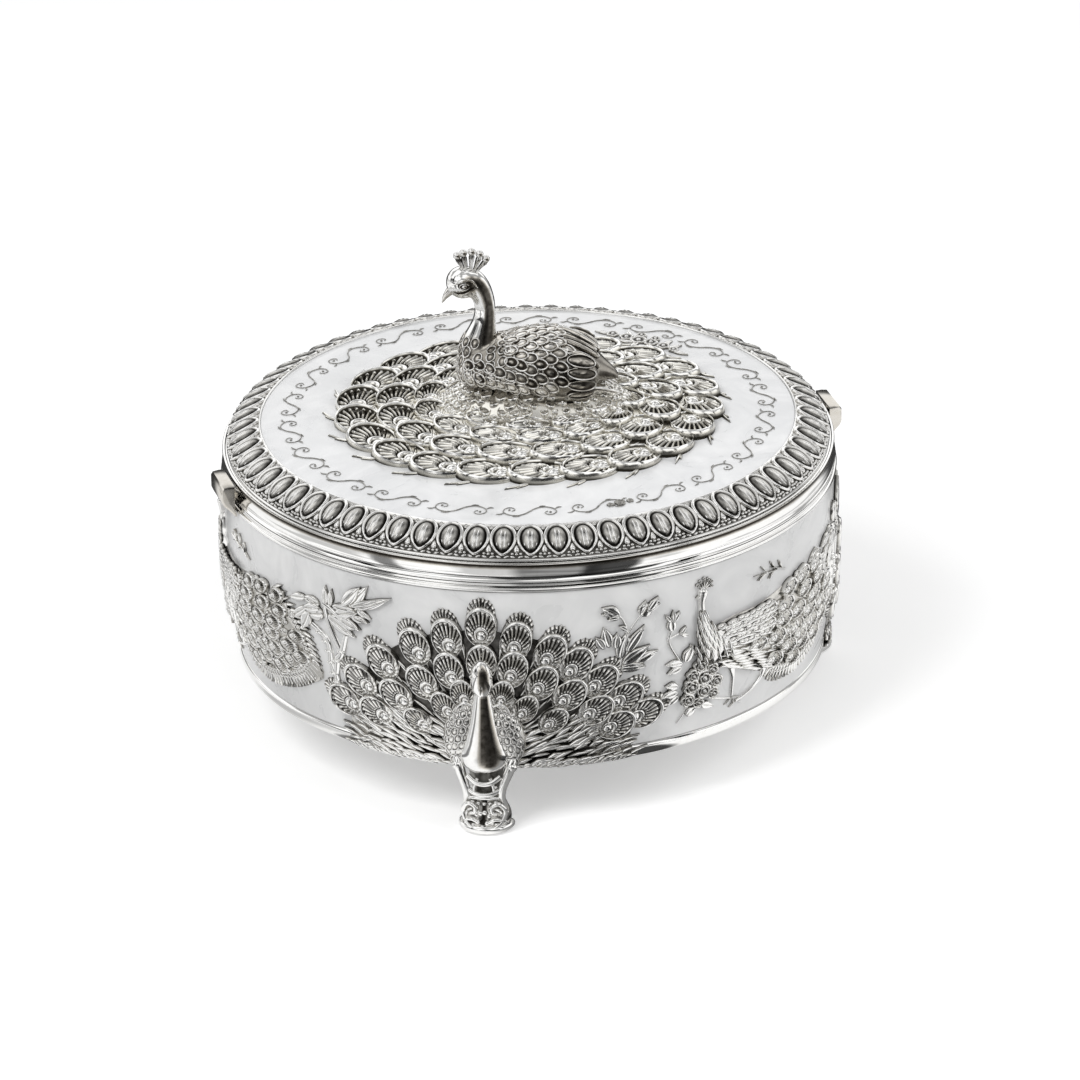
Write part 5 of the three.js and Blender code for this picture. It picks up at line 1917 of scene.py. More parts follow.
    def lay(self, name: str, stems: Iterable, leaves: Iterable, blossoms: Iterable = ()) -> Obj:
        """Lays one plant.

        Args:
            name: the plant's name.
            stems: the stems' tables.
            leaves: root, tip and half width of each leaf.
            blossoms: place and size of each flower.

        Returns:
            The plant at the front of the box.
        """
        leaf, blossom = self.stamps.leaf, self.stamps.blossom
        parts = [ribbon(table, 1.5, 14) for table in stems]
        for i, (a0, z0, a1, z1, half) in enumerate(leaves):
            parts.append(leaf.between(
                on_wall, spot(a0, z0), spot(a1, z1), 1.4 * half, 0.5 + 0.35 * (i % 3), 1.3
            ))
        for i, (azimuth, height, size) in enumerate(blossoms):
            at, turn, lift = spot(azimuth, height), 37.0 * i, 0.3 * (i % 3)
            parts.append(blossom.press(on_wall, at, turn, (size, size, 1.7), 0.7 + lift))
            parts.append(blossom.press(on_wall, at, turn + 36, (0.62 * size, 0.62 * size, 1.6), 1.3 + lift))
        return joined(name, parts)

    def bamboo(self) -> Obj:
        """Lays the bamboo with its thickened joints.

        Returns:
            The bamboo at the front of the box.
        """
        joints = [ball("bamboo_joint", (*spot(*place), 1.3), (2.3, 0.8, 1.3)) for place in self.joints]
        for joint in joints:
            move(joint, on_wall(spots(joint)))
        plant = self.lay("bamboo_stems", self.bamboo_stems, self.bamboo_leaves)
        return joined("bamboo_relief", [plant, *joints])

    def branch(self) -> Obj:
        """Lays the leafy branch with its bud."""
        return self.lay("leafy_branch_relief", self.branch_stems, self.branch_leaves)

    def peony(self) -> Obj:
        """Lays the flower cluster with its twig."""
        return self.lay("flower_spray_relief", self.twig_stems, self.twig_leaves, self.blossoms)


@dataclass
class WalkingPeacock(Assembly):
    """The walking peacock of a sector; places are azimuth from the foot and height."""

    tail: tuple[Place, ...] = (
        (44.0, 82, 6), (49, 79, 12), (55, 76, 15), (61, 75, 18), (67, 74, 22), (74, 70, 22), (80, 66, 15),
        (84, 63, 8), (86.4, 62, 2),
    )
    neck: tuple[Place, ...] = (
        (46.5, 77, 9.5), (44.2, 82, 8.0), (42.9, 88, 5.2), (42.3, 93, 3.2), (42.1, 98, 2.0),
        (42.0, 102, 1.7), (42.1, 105, 2.2), (42.3, 107.7, 2.6), (42.4, 109.6, 1.6), (42.4, 110.4, 0.5),
    )
    eyes: tuple[Flat, ...] = (
        (57.8, 86.0), (63.2, 84.1), (62.5, 77.7), (67.8, 77.4), (57.4, 78.9), (60.6, 70.6), (67.5, 68.8),
        (73.6, 65.7), (64.7, 61.7), (69.9, 59.3), (74.9, 58.3), (60.2, 59.3), (72.4, 73.1), (77.9, 71.4),
        (73.7, 79.5), (78.7, 64.2), (70.0, 86.0), (75.8, 87.0), (64.6, 91.5), (80.5, 77.9), (66.5, 54.4),
        (69.4, 93.4), (74.6, 93.5), (81.6, 68.5), (65.4, 70.0), (71.0, 66.2), (55.2, 71.5), (63.0, 66.0),
        (68.8, 64.0),
    )
    large_eyes: int = 16
    legs: tuple[tuple[Place, ...], ...] = (
        ((49.4, 64, 2.2), (49.7, 58, 1.0), (49.7, 49, 0.9)),
        ((57.6, 60, 2.4), (58.2, 55, 1.5), (56.0, 49.4, 1.0), (52.6, 46, 0.9), (50.9, 45, 0.8)),
    )
    toes: tuple[tuple[Flat, Flat], ...] = (
        ((49.7, 48), (48.0, 45.0)), ((49.8, 48), (50.4, 43.6)), ((49.6, 48), (52.0, 46.4)),
        ((50.9, 45.4), (49.2, 42.8)), ((51, 45.2), (52.6, 42.8)),
    )
    crest: tuple[Flat, ...] = (
        (41.1, 111.4), (41.7, 113.0), (42.6, 113.8), (43.5, 113.2), (44.2, 111.6), (44.2, 109.4)
    )
    train_edge: tuple[Flat, ...] = (
        (58.5, 57.5), (61.6, 50.5), (66.5, 48.5), (70.5, 48.6), (75.0, 51.2), (79.0, 54.6), (82.6, 60),
        (84.4, 68), (83.0, 79), (79.6, 89), (74.5, 97.5),
    )
    train_middle: Flat = (66.0, 76.0)
    twig: tuple[tuple[Flat, Flat, float], ...] = (
        ((64.5, 101), (59.2, 106.4), 0.7), ((61.5, 103.6), (54.6, 105.4), 0.8),
        ((60.6, 104.4), (58.6, 101.0), 1.0), ((58.4, 105.0), (55.6, 102.6), 1.0),
        ((60.4, 105), (59.2, 109.4), 1.0), ((57.8, 105.6), (56.6, 109.0), 0.9),
        ((62.6, 103), (61.8, 107.6), 1.0),
    )

    def build(self) -> Obj:
        """Lays the peacock's body, train, wing, legs and crest.

        Returns:
            The peacock at the front of the box.
        """
        blade, parts = self.stamps.blade, [ribbon(self.tail, 1.5, 26, 0.7), ribbon(self.neck, 3.2, 26, 0.15)]
        for i, (azimuth, height) in enumerate(self.eyes):
            turn = -80.0 + 0.9 * (height - 74) - 6
            shrink = 1.0 if i < self.large_eyes else 0.9
            size = (0.56 * shrink, 0.72 * shrink, 0.9)
            parts.append(self.stamps.eye.press(
                on_wall, spot(azimuth, height), turn, size, 1.1 + 0.3 * (i % 3)
            ))
        parts += [*self.fringe(), *self.breast(), *self.wing()]
        parts += [ribbon(table, 1.5) for table in self.legs]
        parts += [blade.between(on_wall, spot(*root), spot(*tip), 0.75, 0.4, 1.2) for root, tip in self.toes]
        parts.append(blade.between(on_wall, spot(42.0, 106.9), spot(40.7, 105.2), 1.1, 0.9, 1.8))
        for tip in self.crest:
            parts.append(blade.between(on_wall, spot(42.5, 108.6), spot(*tip), 0.8, 0.5, 1.4))
            parts.append(self.stamps.blossom.press(on_wall, spot(*tip), 0.0, (0.2, 0.2, 0.7), 0.6))
        whole = joined("walking_peacock_relief", parts)
        # The patina and painted shade are lightened, all but the deepest.
        return retouch(whole, lambda old, _: np.where(old > 0.78, old, 0.55 * old))

    def fringe(self) -> list[Obj]:
        """Lays the fringe round the train, the small feathers on it and the twig above it.

        Returns:
            The feathers.
        """
        found, blade, scale, middle = [], self.stamps.blade, self.stamps.scale, spot(*self.train_middle)
        for i, (azimuth, height) in enumerate(curved(self.train_edge, 44)):
            x, y = spot(azimuth, height)
            turn = math.degrees(math.atan2(-(x - middle[0]), y - middle[1]))
            found.append(blade.press(on_wall, (x, y), turn - 14 + 10 * shake(i), (1.1, 0.62, 1.2), 0.6))
            at = (0.93 * x + 0.07 * middle[0], 0.93 * y + 0.07 * middle[1])
            found.append(scale.press(on_wall, at, turn + 12 * shake(i + 4), (0.72, 0.72, 1.2), 1.0))
        for i in range(46):
            azimuth = 60 + 21 * abs(shake(i * 1.7))
            height = 76 + 22 * shake(i * 2.9) * (1 - abs(azimuth - 69) / 24)
            found.append(scale.press(
                on_wall, spot(azimuth, height), -85 + 20 * shake(i), (0.72, 0.8, 1.1), 1.0
            ))
        return found + [
            blade.between(on_wall, spot(*root), spot(*tip), half, 0.5, 1.3) for root, tip, half in self.twig
        ]

    def breast(self) -> list[Obj]:
        """Lays the strokes of the neck and breast.

        Returns:
            The feathers.
        """
        found = []
        for row in range(8):
            height, half = 74.0 + row * 3.2, 3.6 - 0.38 * row
            for step in range(6 - row // 3):
                azimuth = 42.2 + max(0.0, 78 - height) * 0.2 + (step - 2.2 + 0.5 * (row % 2)) * half * 0.42
                at, turn = spot(azimuth + 1.2 - 0.17 * row, height), 200 + 4 * shake(row * 7 + step)
                found.append(self.stamps.blade.press(on_wall, at, turn, (0.95, 0.36, 1.1), 3.0 - 0.1 * row))
        return found

    def wing(self) -> list[Obj]:
        """Lays the feathers of the wing and the back.

        Returns:
            The feathers.
        """
        found, blade, scale = [], self.stamps.blade, self.stamps.scale
        for row in range(8):
            for step in range(9):
                seed = row * 13 + step
                share = (step + 0.5 * (row % 2)) / 8.5
                azimuth = 46.4 + 12.4 * share + 0.5 * shake(seed)
                height = 88.5 + 1.6 * share - (2.9 + 0.5 * share) * row + 0.5 * shake(seed + 3)
                turn = -82 - 3.0 * row + 9 * shake(seed + 5)
                if row < 5:
                    found.append(scale.press(
                        on_wall, spot(azimuth, height), turn, (0.55, 0.95, 1.3), 2.2 - 0.08 * row
                    ))
                found.append(blade.press(
                    on_wall, spot(azimuth + 0.4, height - 1.4), turn, (0.9, 0.5, 1.3), 2.3 - 0.1 * row
                ))
        for i in range(16):
            at = spot(49.0 + 0.62 * i, 73.5 - 1.35 * (i % 8) - 0.45 * i)
            found.append(blade.press(on_wall, at, -98 - 0.8 * i + 5 * shake(i), (1.2, 0.7, 1.5), 2.0))
        for i in range(8):
            found.append(blade.press(
                on_wall, spot(47.5 + 1.1 * i, 67.0 - 1.2 * i), -128 + 3 * i, (1.2, 0.6, 1.4), 1.4
            ))
        return found


@dataclass
class Foot(Assembly):
    """A foot: a small peacock on an open-work leg with a broad clawed sole."""

    neck: tuple[Row, ...] = (
        (29.2, 1.6, 1.6, -142.6), (29.6, 4.4, 4.0, -142.2), (31.0, 7.2, 6.4, -141.6),
        (33.6, 10.2, 8.8, -141.2), (37.8, 11.4, 9.9, -140.8), (42.0, 11.0, 9.6, -140.8),
        (46.5, 9.6, 8.6, -141.4), (52.0, 7.9, 7.0, -142.4), (58.0, 6.3, 5.7, -143.0),
        (64.0, 5.1, 4.8, -143.2), (70.0, 4.2, 4.1, -143.2),
    )
    back: tuple[Row, ...] = (
        (5.0, 6.5, 4.0, -139.0), (14.0, 5.2, 3.0, -138.6), (24.0, 7.0, 3.0, -138.4), (33.0, 9.0, 5.0, -138.2)
    )
    pad: tuple[Row, ...] = (
        (0.2, 9.2, 8.4, -138.8), (1.6, 10.6, 9.7, -138.8), (5.0, 11.4, 10.5, -138.8),
        (8.5, 11.1, 10.2, -138.7), (12.0, 9.4, 8.4, -138.6), (14.8, 8.2, 7.0, -138.6),
        (17.4, 8.6, 6.8, -138.6), (19.0, 6.5, 4.5, -138.6),
    )
    groove: float = 6.2
    pillar: tuple[Place, ...] = (
        (8.6, -143.0, 14), (8.0, -144.8, 18), (8.6, -144.8, 23), (10.8, -143.4, 29), (13.4, -141.2, 37)
    )
    pillar_radii: tuple[float, ...] = (2.0, 1.9, 1.8, 1.8, 1.8, 1.9, 1.9, 2.0, 2.1, 2.2, 2.4, 2.4, 2.2, 1.4)
    curl: tuple[Place, ...] = (
        (8.6, -146.8, 7.4), (9.8, -146.2, 11.6), (7.2, -147.6, 15.6), (4.0, -148.2, 14.2),
        (4.2, -148.6, 11.4), (6.2, -148.6, 11.2),
    )
    toe_edge: tuple[Place, ...] = (
        (2.2, -148.8, 3.2), (5.8, -148.6, 4.2), (8.4, -147.0, 6.8), (5.4, -148.8, 8.2), (2.4, -148.8, 6.6)
    )
    strut: tuple[Place, ...] = ((2.8, -145.6, 27.5), (4.6, -145.8, 22), (3.4, -145.8, 17))

    @staticmethod
    def column(name: str, table: Sequence[Row]) -> Obj:
        """Lofts an upright form from height, half width, half depth and middle of its sections."""
        line = curved(table, 3 * len(table))
        return ovals(name, [((0, y, z), (wide, 0, 0), (0, deep, 0)) for z, wide, deep, y in line], 32)

    def bird(self) -> Obj:
        """Models the polished neck, head, beak and crest of the foot's peacock.

        Returns:
            The smooth part of the foot.
        """
        parts = [
            self.column("foot_bird_neck", self.neck),
            ball("foot_bird_head", (0, -144.4, 77.0), (5.5, 5.6, 9.9)),
        ]
        parts.append(rod(
            "foot_bird_crest", ((0, -143, 86), (0, -142.6, 90), (0, -142.4, 93)), (1.2, 0.8, 0.6)
        ))
        parts.append(ball("foot_crest_ball", (0, -142.6, 88.6), (2.2, 2.2, 1.9)))
        parts.append(ball("foot_crest_tip", (0, -142.4, 92.6), (1.5, 1.5, 1.4)))
        parts.append(rod(
            "foot_bird_beak", ((0, -148.4, 75.5), (0, -149.4, 73.6), (0, -149.8, 71.2)), (1.5, 1.1, 0.25)
        ))
        parts += [ball("foot_bird_eye", (side * 4.5, -147.0, 79.0), (0.9, 0.9, 0.9)) for side in (-1, 1)]
        whole = joined("peacock_foot_neck", parts)
        # Painted reflection: a dark streak where the plate faces front right.
        paint_reflection_streaks(whole, ((0.3, -0.94, 0.15),), (0.86, 0.95), 0.8)
        return whole

    def wings(self) -> list[Obj]:
        """Models the two scaled wings beside the neck.

        Returns:
            Their parts.
        """
        wings = []
        for side in (-1, 1):
            wings.append(ball("foot_bird_wing", (side * 10.2, -138.8, 50.0), (8.6, 7.0, 15.5), side * -16))
            wings.append(ball("foot_bird_hip", (side * 11.6, -137.6, 36.5), (5.4, 5.4, 6.4), side * 10))
        parts = [fused("foot_bird_wings", wings, 0.9, 4)]
        # The wings' ground between the scales gets patina with painted shade.
        mark(parts[0], 0.45)
        skin = Skin(parts[0])
        for side in (-1, 1):
            for row in range(8):
                grow = 1.12 - 0.035 * row
                for step in range(4):
                    x = side * (4.6 + step * 4.5 + 2.2 * (row % 2))
                    z = 33.5 + row * 4.5 - 0.2 * step * step
                    ground = skin.ground((x, -149.0, z), (side * 0.2, 0, -1))
                    parts.append(self.stamps.scale.press(
                        ground, (0, 0), 0, (grow, 0.9 * grow, 0.9), 0.1, 0.13
                    ))
        return parts

    def leg(self) -> list[Obj]:
        """Models the open-work leg above the sole.

        Returns:
            Its parts.
        """
        parts = [self.column("foot_back", self.back)]
        # The back behind the open-work gets patina with painted shade.
        mark(parts[0], 0.7)
        for side in (-1, 1):
            flip = (side, 1, 1)
            parts.append(strand("foot_pillar", self.pillar, self.pillar_radii, 12, flip))
            parts.append(ball("foot_pillar_ball", (side * 12.6, -142.6, 32.4), (2.5, 2.5, 2.5)))
            parts.append(strand("foot_curl", self.curl, [1.3 - 0.03 * i for i in range(20)], flip=flip))
            parts.append(strand("foot_toe_edge", self.toe_edge, [0.9] * 16, flip=flip))
            parts.append(strand("foot_strut", self.strut, [0.8] * 8, flip=flip))
        for height, drop, radius in ((28.4, 3.4, 1.25), (21.8, 2.2, 1.15), (17.4, -0.8, 1.0)):
            half = ((-7.6, -145.0, height), (-4, -146.6, height - drop * 0.75))
            path = (*half, (0, -147.1, height - drop), *((-x, y, z) for x, y, z in reversed(half)))
            parts.append(strand("foot_band", path, [radius] * 13))
        for x in (-5.4, -2.7, 0.0, 2.7, 5.4):
            parts.append(ball("foot_bead", (x, -145.6, 14.6 + 0.03 * x * x), (1.1, 1.1, 1.1)))
            parts.append(ball("foot_bead", (x, -145.2, 24.2 - 0.04 * x * x), (0.8, 0.8, 0.8)))
        return parts

    def paw(self) -> Obj:
        """Models the pad with its two toes, the notch between them and the groove across them.

        Returns:
            The paw.
        """
        toes = [self.column("foot_pad", self.pad)]
        toes += [ball("foot_toe", (x, -143.6, 8.4), (4.9, 5.2, 4.6)) for x in (-5.8, 5.8)]
        paw = fused("foot_paw", toes, 0.7, 4)
        points = spots(paw)
        points[:, 2] = np.maximum(points[:, 2], 0.0)
        points[:, 1] = np.maximum(points[:, 1], -149.4)
        notch = np.exp(-((points[:, 0] / 1.3) ** 2)) * np.clip((-140.0 - points[:, 1]) / 6.0, 0, 1)
        points[:, 1] += 1.1 * notch
        move(paw, points)
        # Painted shade in the notch and the groove; the pad above the groove is painted darker.
        groove = np.clip(1 - np.abs(points[:, 2] - self.groove) / 1.6, 0, 1)
        above = np.where(points[:, 2] > self.groove, 0.45, 0.0)
        mark(paw, np.clip(0.5 * notch + 0.85 * groove + above, 0, 0.95))
        return paw

    def sole(self) -> list[Obj]:
        """Models the clawed sole: its rim, swirls and grains.

        Returns:
            Its parts.
        """
        rim = [(11.0 * math.sin(t), -138.8 - 10.2 * math.cos(t), 2.9) for t in np.linspace(-1.7, 1.7, 25)]
        parts = [self.paw(), rod("foot_sole_rim", rim, [1.2] + [2.1] * 23 + [1.2], 12)]
        for side in (-1, 1):
            for (x, z), reach, thick in (((5.4, 9.6), 3.1, 0.9), ((2.6, 11.8), 1.8, 0.7)):
                swirl, out = [], -148.2 + 0.08 * x**1.5
                for t in np.linspace(0, 5.4, 16):
                    wide = reach - 0.36 * t
                    swirl.append((side * (x + wide * math.sin(t)), out, z + wide * math.cos(t)))
                parts.append(rod("foot_swirl", swirl, [thick - 0.02 * n for n in range(16)], 6))
        for i in range(26):
            turn = -1.25 + 2.5 * i / 25
            level, out = (9.6, 9.7) if i % 2 else (5.2, 10.7)
            at = (out * math.sin(turn) * 1.04, -139.0 - out * 0.93 * math.cos(turn), level + 1.6 * shake(i))
            parts.append(ball("foot_grain", at, (1.1, 0.8, 1.2)))
        return parts

    def build(self) -> tuple[Obj, Obj]:
        """Models the foot's cast part and its polished part, at the front of the box."""
        return joined("peacock_foot", [*self.leg(), *self.sole(), *self.wings()]), self.bird()


@dataclass
class Sectors(Assembly):
    """The three sectors of the drum, alike but for their place."""

    def build(self) -> None:
        """Builds each relief once and copies it to the sectors."""
        tools, cast = (self.palette, self.stamps), self.palette.cast
        plants, (foot, neck) = Plants(*tools), Foot(*tools).build()
        models = (
            (FeatherFan(*tools).build(), cast, "feather_fan"),
            (WalkingPeacock(*tools).build(), cast, "walking_peacock"), (plants.bamboo(), cast, "bamboo"),
            (plants.branch(), cast, "leafy_branch"), (plants.peony(), cast, "peony_spray"),
            (foot, cast, "foot"), (neck, self.palette.polished, "foot"),
        )
        for model, material, node in models:
            for sector in Sector:
                side = sector.name.lower()
                copy = bpy.data.objects.new(f"{model.name}_{side}", model.data.copy())
                bpy.context.scene.collection.objects.link(copy)
                move(copy, spun(spots(copy), sector.value))
                finish(copy, Body.BOX, Slot.CAST, material, f"{node}_{side}")
            bpy.data.objects.remove(model)
        for sector in Sector:
            dress_solid(f"foot_screw_{sector.name.lower()}", self.palette.steel)


@dataclass
class KnobPeacock(Assembly):
    """The peacock that is the lid's knob: body, wings, neck, head, crest and plumage, in millimetres."""

    base: float = 154.5
    body: tuple[Row, ...] = (
        (-31.8, 169.5, 2.6, 2.6), (-29.6, 170.0, 8.0, 8.0), (-24.0, 170.6, 11.5, 13.0),
        (-13.0, 171.0, 13.0, 17.2), (-1.2, 171.0, 15.4, 18.8), (9.4, 171.0, 16.4, 19.0),
        (16.0, 171.0, 15.5, 18.2), (23.3, 170.6, 12.4, 15.6), (30.6, 169.0, 8.8, 11.0),
        (36.0, 167.0, 5.2, 6.6), (40.8, 164.6, 2.6, 3.2), (42.5, 163.4, 1.2, 1.4),
    )
    neck: tuple[Place, ...] = (
        (-18.5, 168.0, 12.0), (-21.0, 177.0, 10.4), (-21.4, 182.0, 8.5), (-20.3, 187.0, 6.9),
        (-19.1, 193.0, 5.4), (-18.6, 198.4, 4.9), (-19.4, 204.0, 5.1), (-21.4, 209.4, 5.4),
        (-24.4, 213.4, 5.2), (-27.4, 214.6, 4.0),
    )
    beak: tuple[Place, ...] = ((-32.4, 0, 209.0), (-34.6, 0, 207.6), (-36.8, 0, 205.0), (-38.4, 0, 201.9))
    brow: tuple[Place, ...] = (
        (-32.8, 5.4, 212.8), (-30.3, 6.3, 214.4), (-27.7, 6.4, 215.3), (-24.4, 5.9, 214.7),
        (-21.8, 5.4, 211.2),
    )
    cheek: tuple[Place, ...] = (
        (-33.6, 4.1, 209.2), (-30.8, 5.5, 208.8), (-27.4, 6.0, 209.4), (-23.4, 5.5, 211.2)
    )
    crest_balls: tuple[Flat, ...] = (
        (-31.0, 225.2), (-28.1, 226.4), (-24.2, 227.0), (-20.6, 225.8), (-17.7, 223.4)
    )
    skirt_table: tuple[Row, ...] = (
        (43.0, 27.0, 0.0, -0.5), (43.0, 27.0, 0.0, 4.2), (40.0, 24.0, 0.0, 7.0), (36.0, 20.0, 0.0, 9.8),
        (32.0, 16.5, 0.0, 12.4), (24.0, 11.0, 0.0, 13.0), (1.0, 1.0, 0.0, 13.0),
    )
    skirt_rows: tuple[Place, ...] = ((-5.6, 12.3, 30), (-2.2, 9.9, 34), (1.4, 7.4, 38), (4.8, 5.2, 42))

    def frame_skin(self) -> Obj:
        """Fuses the bird's body, wings, neck and head into one skin.

        Returns:
            The skin.
        """
        line = curved(self.body, 30)
        parts = [ovals(
            "bird_body", [((x, 0, z), (0, wide, 0), (0, 0, high)) for x, z, high, wide in line], 36
        )]
        line = curved(self.neck, 26)
        ways = np.gradient(line[:, :2], axis=0)
        ways /= np.linalg.norm(ways, axis=1)[:, None]
        sections = []
        for (x, z, half), (dx, dz) in zip(line, ways):
            sections.append(((x, 0, z), (0, half * 0.92, 0), (half * dz, 0, -half * dx)))
        parts.append(ovals("bird_neck", sections, 28))
        parts.append(ball("bird_head", (-28.5, 0, 212.0), (8.1, 6.6, 7.9), 10))
        for side in (-1, 1):
            parts.append(ball("bird_wing", (10.0, side * 13.4, 170.0), (23.0, 6.8, 11.4), 10))
            parts.append(ball("bird_wing_end", (20.5, side * 12.6, 169.4), (13.0, 7.0, 11.0), 10))
        return fused("bird_skin", parts, 0.75, 8)

    def eye(self, side: int) -> list[Obj]:
        """Models an eye with its socket, lid and brow, and the line of the cheek.

        Args:
            side: -1 or 1, the side along Y.

        Returns:
            The parts.
        """
        flip = (1, side, 1)
        socket = ball("bird_socket", (-27.6, side * 6.0, 212.4), (3.5, 1.0, 2.0))
        rim = []
        for t in np.linspace(0, 2 * math.pi, 17):
            rim.append((
                -27.8 + 2.3 * math.cos(t), side * (6.9 - 0.45 * abs(math.cos(t))), 212.3 + 1.5 * math.sin(t)
            ))
        brow = (0.3, 0.5, 0.65, 0.75, 0.8, 0.8, 0.8, 0.75, 0.7, 0.6, 0.5, 0.2)
        cheek = strand(
            "bird_cheek_line", self.cheek, (0.2, 0.3, 0.4, 0.5, 0.55, 0.6, 0.6, 0.55, 0.5, 0.4, 0.2), 6, flip
        )
        # The socket and the cheek line are painted dark: painted shade in the socket, a painted reflection
        # along the cheek.
        for dark in (socket, cheek):
            mark(dark, 0.95)
        ball_of_eye = ball("bird_eye", (-27.9, side * 6.7, 212.3), (1.2, 0.7, 0.95))
        return [
            socket, ball_of_eye, rod("bird_eyelid", rim, [0.34] * 17, 6),
            strand("bird_brow", self.brow, brow, 6, flip), cheek,
        ]

    def crest(self) -> list[Obj]:
        """Models the crest's fluted stalks with their balls.

        Returns:
            The parts.
        """
        parts = []
        for x, z in self.crest_balls:
            root = (-24.9 + (x + 24.3) * 0.42, 0, 217.2)
            stalk = curved((root, ((x + root[0]) / 2, 0, (z + root[2]) / 2 - 0.3), (x, 0, z - 1.2)), 7)
            parts.append(rod("crest_stalk", stalk, (0.75, 0.8, 0.9, 1.05, 1.25, 1.4, 1.0), 8))
            mark(parts[-1], 0.75)
            parts.append(ball("crest_ball", (x, 0, z), (1.85, 1.85, 1.8)))
            for side in (-1, 1):
                for across in (-0.75, 0.0, 0.75):
                    places = enumerate(stalk)
                    flute = [
                        (px + across * (0.5 + 0.1 * n), side * (0.62 + 0.09 * n), pz)
                        for n, (px, _, pz) in places
                    ]
                    parts.append(rod("crest_fluting", flute, [0.2, 0.22, 0.25, 0.28, 0.32, 0.34, 0.2], 5))
        return parts

    @staticmethod
    def bare(x: float, turn: float) -> bool:
        """Says where the body carries no scales: under the neck, the wings' feathers and the belly.

        Args:
            x: the place along the bird.
            turn: the angle from the ridge of its back in radians.

        Returns:
            Whether it is bare.
        """
        turn = abs(turn)
        front = (x < -12 and turn < 1.15) or (x < -6 and turn < 0.35)
        return turn > 1.95 or front or (x > 19 and turn > 1.0) or (x > 17 and turn < 0.62)

    def plumage(self, skin: Skin) -> list[Obj]:
        """Lays the scales of the body, chest and neck, with painted shade darker towards the belly and on the
        upper neck, and each scale's middle lighter as a painted highlight.

        Args:
            skin: the bird's skin.

        Returns:
            The feathers.
        """
        scale, parts = self.stamps.scale, []
        for row in range(11):
            x = -28.0 + row * 4.9
            girth = float(np.interp(x, (-33, -24, 0, 20, 36), (7, 13, 19, 17, 8)))
            for step in range(-6, 7):
                turn = (step + 0.5 * (row % 2)) * 6.3 / girth
                if self.bare(x, turn):
                    continue
                grow = 1.38 + 0.015 * row
                middle = (x, girth * 1.3 * math.sin(turn), 171.0 + girth * 1.3 * math.cos(turn))
                ground = skin.ground(middle, (1.0, 0.0, -0.3 - 0.25 * math.cos(turn)))
                size = (grow * (1 + 0.06 * shake(row + 5 * step)), grow * 1.08, 1.25)
                # Painted shade, deeper towards the belly; the scale's middle stays lighter as a painted
                # highlight.
                dark = 0.1
                if abs(turn) < 1.7:
                    dark = 0.2 + 0.72 * eased(abs(turn), 0.7, 0.4) + 0.15 * shake(step + row)
                copy = scale.press(ground, (0, 0), 5 * shake(row * 31 + step), size, 0.1, 0.14)
                parts.append(regrade(copy, (0.1, 0.3 * dark), (0.3, dark)))
        for row in range(5):
            z, reach = 185.4 - row * 4.7, 8.4 + row * 1.5
            centre = float(np.interp(z, (165, 187), (-20.0, -20.8)))
            count = max(10, int(2 * math.pi * reach / 4.9))
            # The upper neck's scales get a dark painted reflection.
            size, dark = 1.12 + 0.06 * row, 0.7 if row < 3 else 0.2
            for step in range(count):
                turn = (step + 0.5 * (row % 2)) * 2 * math.pi / count
                middle = (centre - 1.4 * reach * math.cos(turn), 1.4 * reach * math.sin(turn), z)
                copy = scale.press(
                    skin.ground(middle, (-0.15, 0.0, -1.0)), (0, 0), 0, (size, size, 1.0), 0.0, 0.13
                )
                parts.append(regrade(copy, (0.1, 0.4 * dark), (0.3, dark)))
        return parts

    def quills(self, skin: Skin) -> list[Obj]:
        """Lays the wings' long feathers and the tail's ridge.

        Args:
            skin: the bird's skin.

        Returns:
            The feathers.
        """
        plume, parts = self.stamps.plume, []
        for side in (-1, 1):
            for slope, wide, lift in (
                (-42.0, 1.4, 0.4), (-12.0, 1.55, 0.8), (18.0, 1.65, 1.2), (48.0, 1.75, 1.6)
            ):
                angle = math.radians(slope)
                near = (26.0, side * (12.6 + 10.0 * math.cos(angle)), 169.8 + 13.5 * math.sin(angle))
                copy = plume.press(
                    skin.ground(near, (1.0, 0.0, -0.12)), (0, 0), 0, (wide, 0.8, 1.6), lift, 0.03
                )
                # Painted highlight down the plume's middle, with painted shade round it.
                parts.append(regrade(copy, (0.28, 0.3), (0.6, 0.8)))
            for i in range(3):
                ground = skin.ground(
                    (27.0 + 1.6 * i, side * (4.4 + 4.4 * i), 190.0 - 2.0 * i), (1.0, side * -0.12, -0.6)
                )
                parts.append(plume.press(ground, (0, 1), 0, (1.0, 1.2, 1.1), 0.7, 0.02))
            for i in range(6):
                path = (
                    (27.0, 13.4 - 1.2 * i, 163.5 - 1.0 * i), (35.0, 11.6 - 1.5 * i, 161.6 - 0.9 * i),
                    (43.0 - 0.5 * i, 8.6 - 1.5 * i, 158.6 - 0.6 * i),
                )
                parts.append(strand(
                    "bird_covert", path, (1.0, 1.05, 1.1, 1.1, 1.0, 0.85, 0.6, 0.2), 8, (1, side, 1)
                ))
        ground = skin.ground((27.0, 0, 192.0), (1.0, 0.0, -0.7))
        return [*parts, plume.press(ground, (0, 2), 0, (1.3, 1.35, 1.5), 1.0, 0.02)]

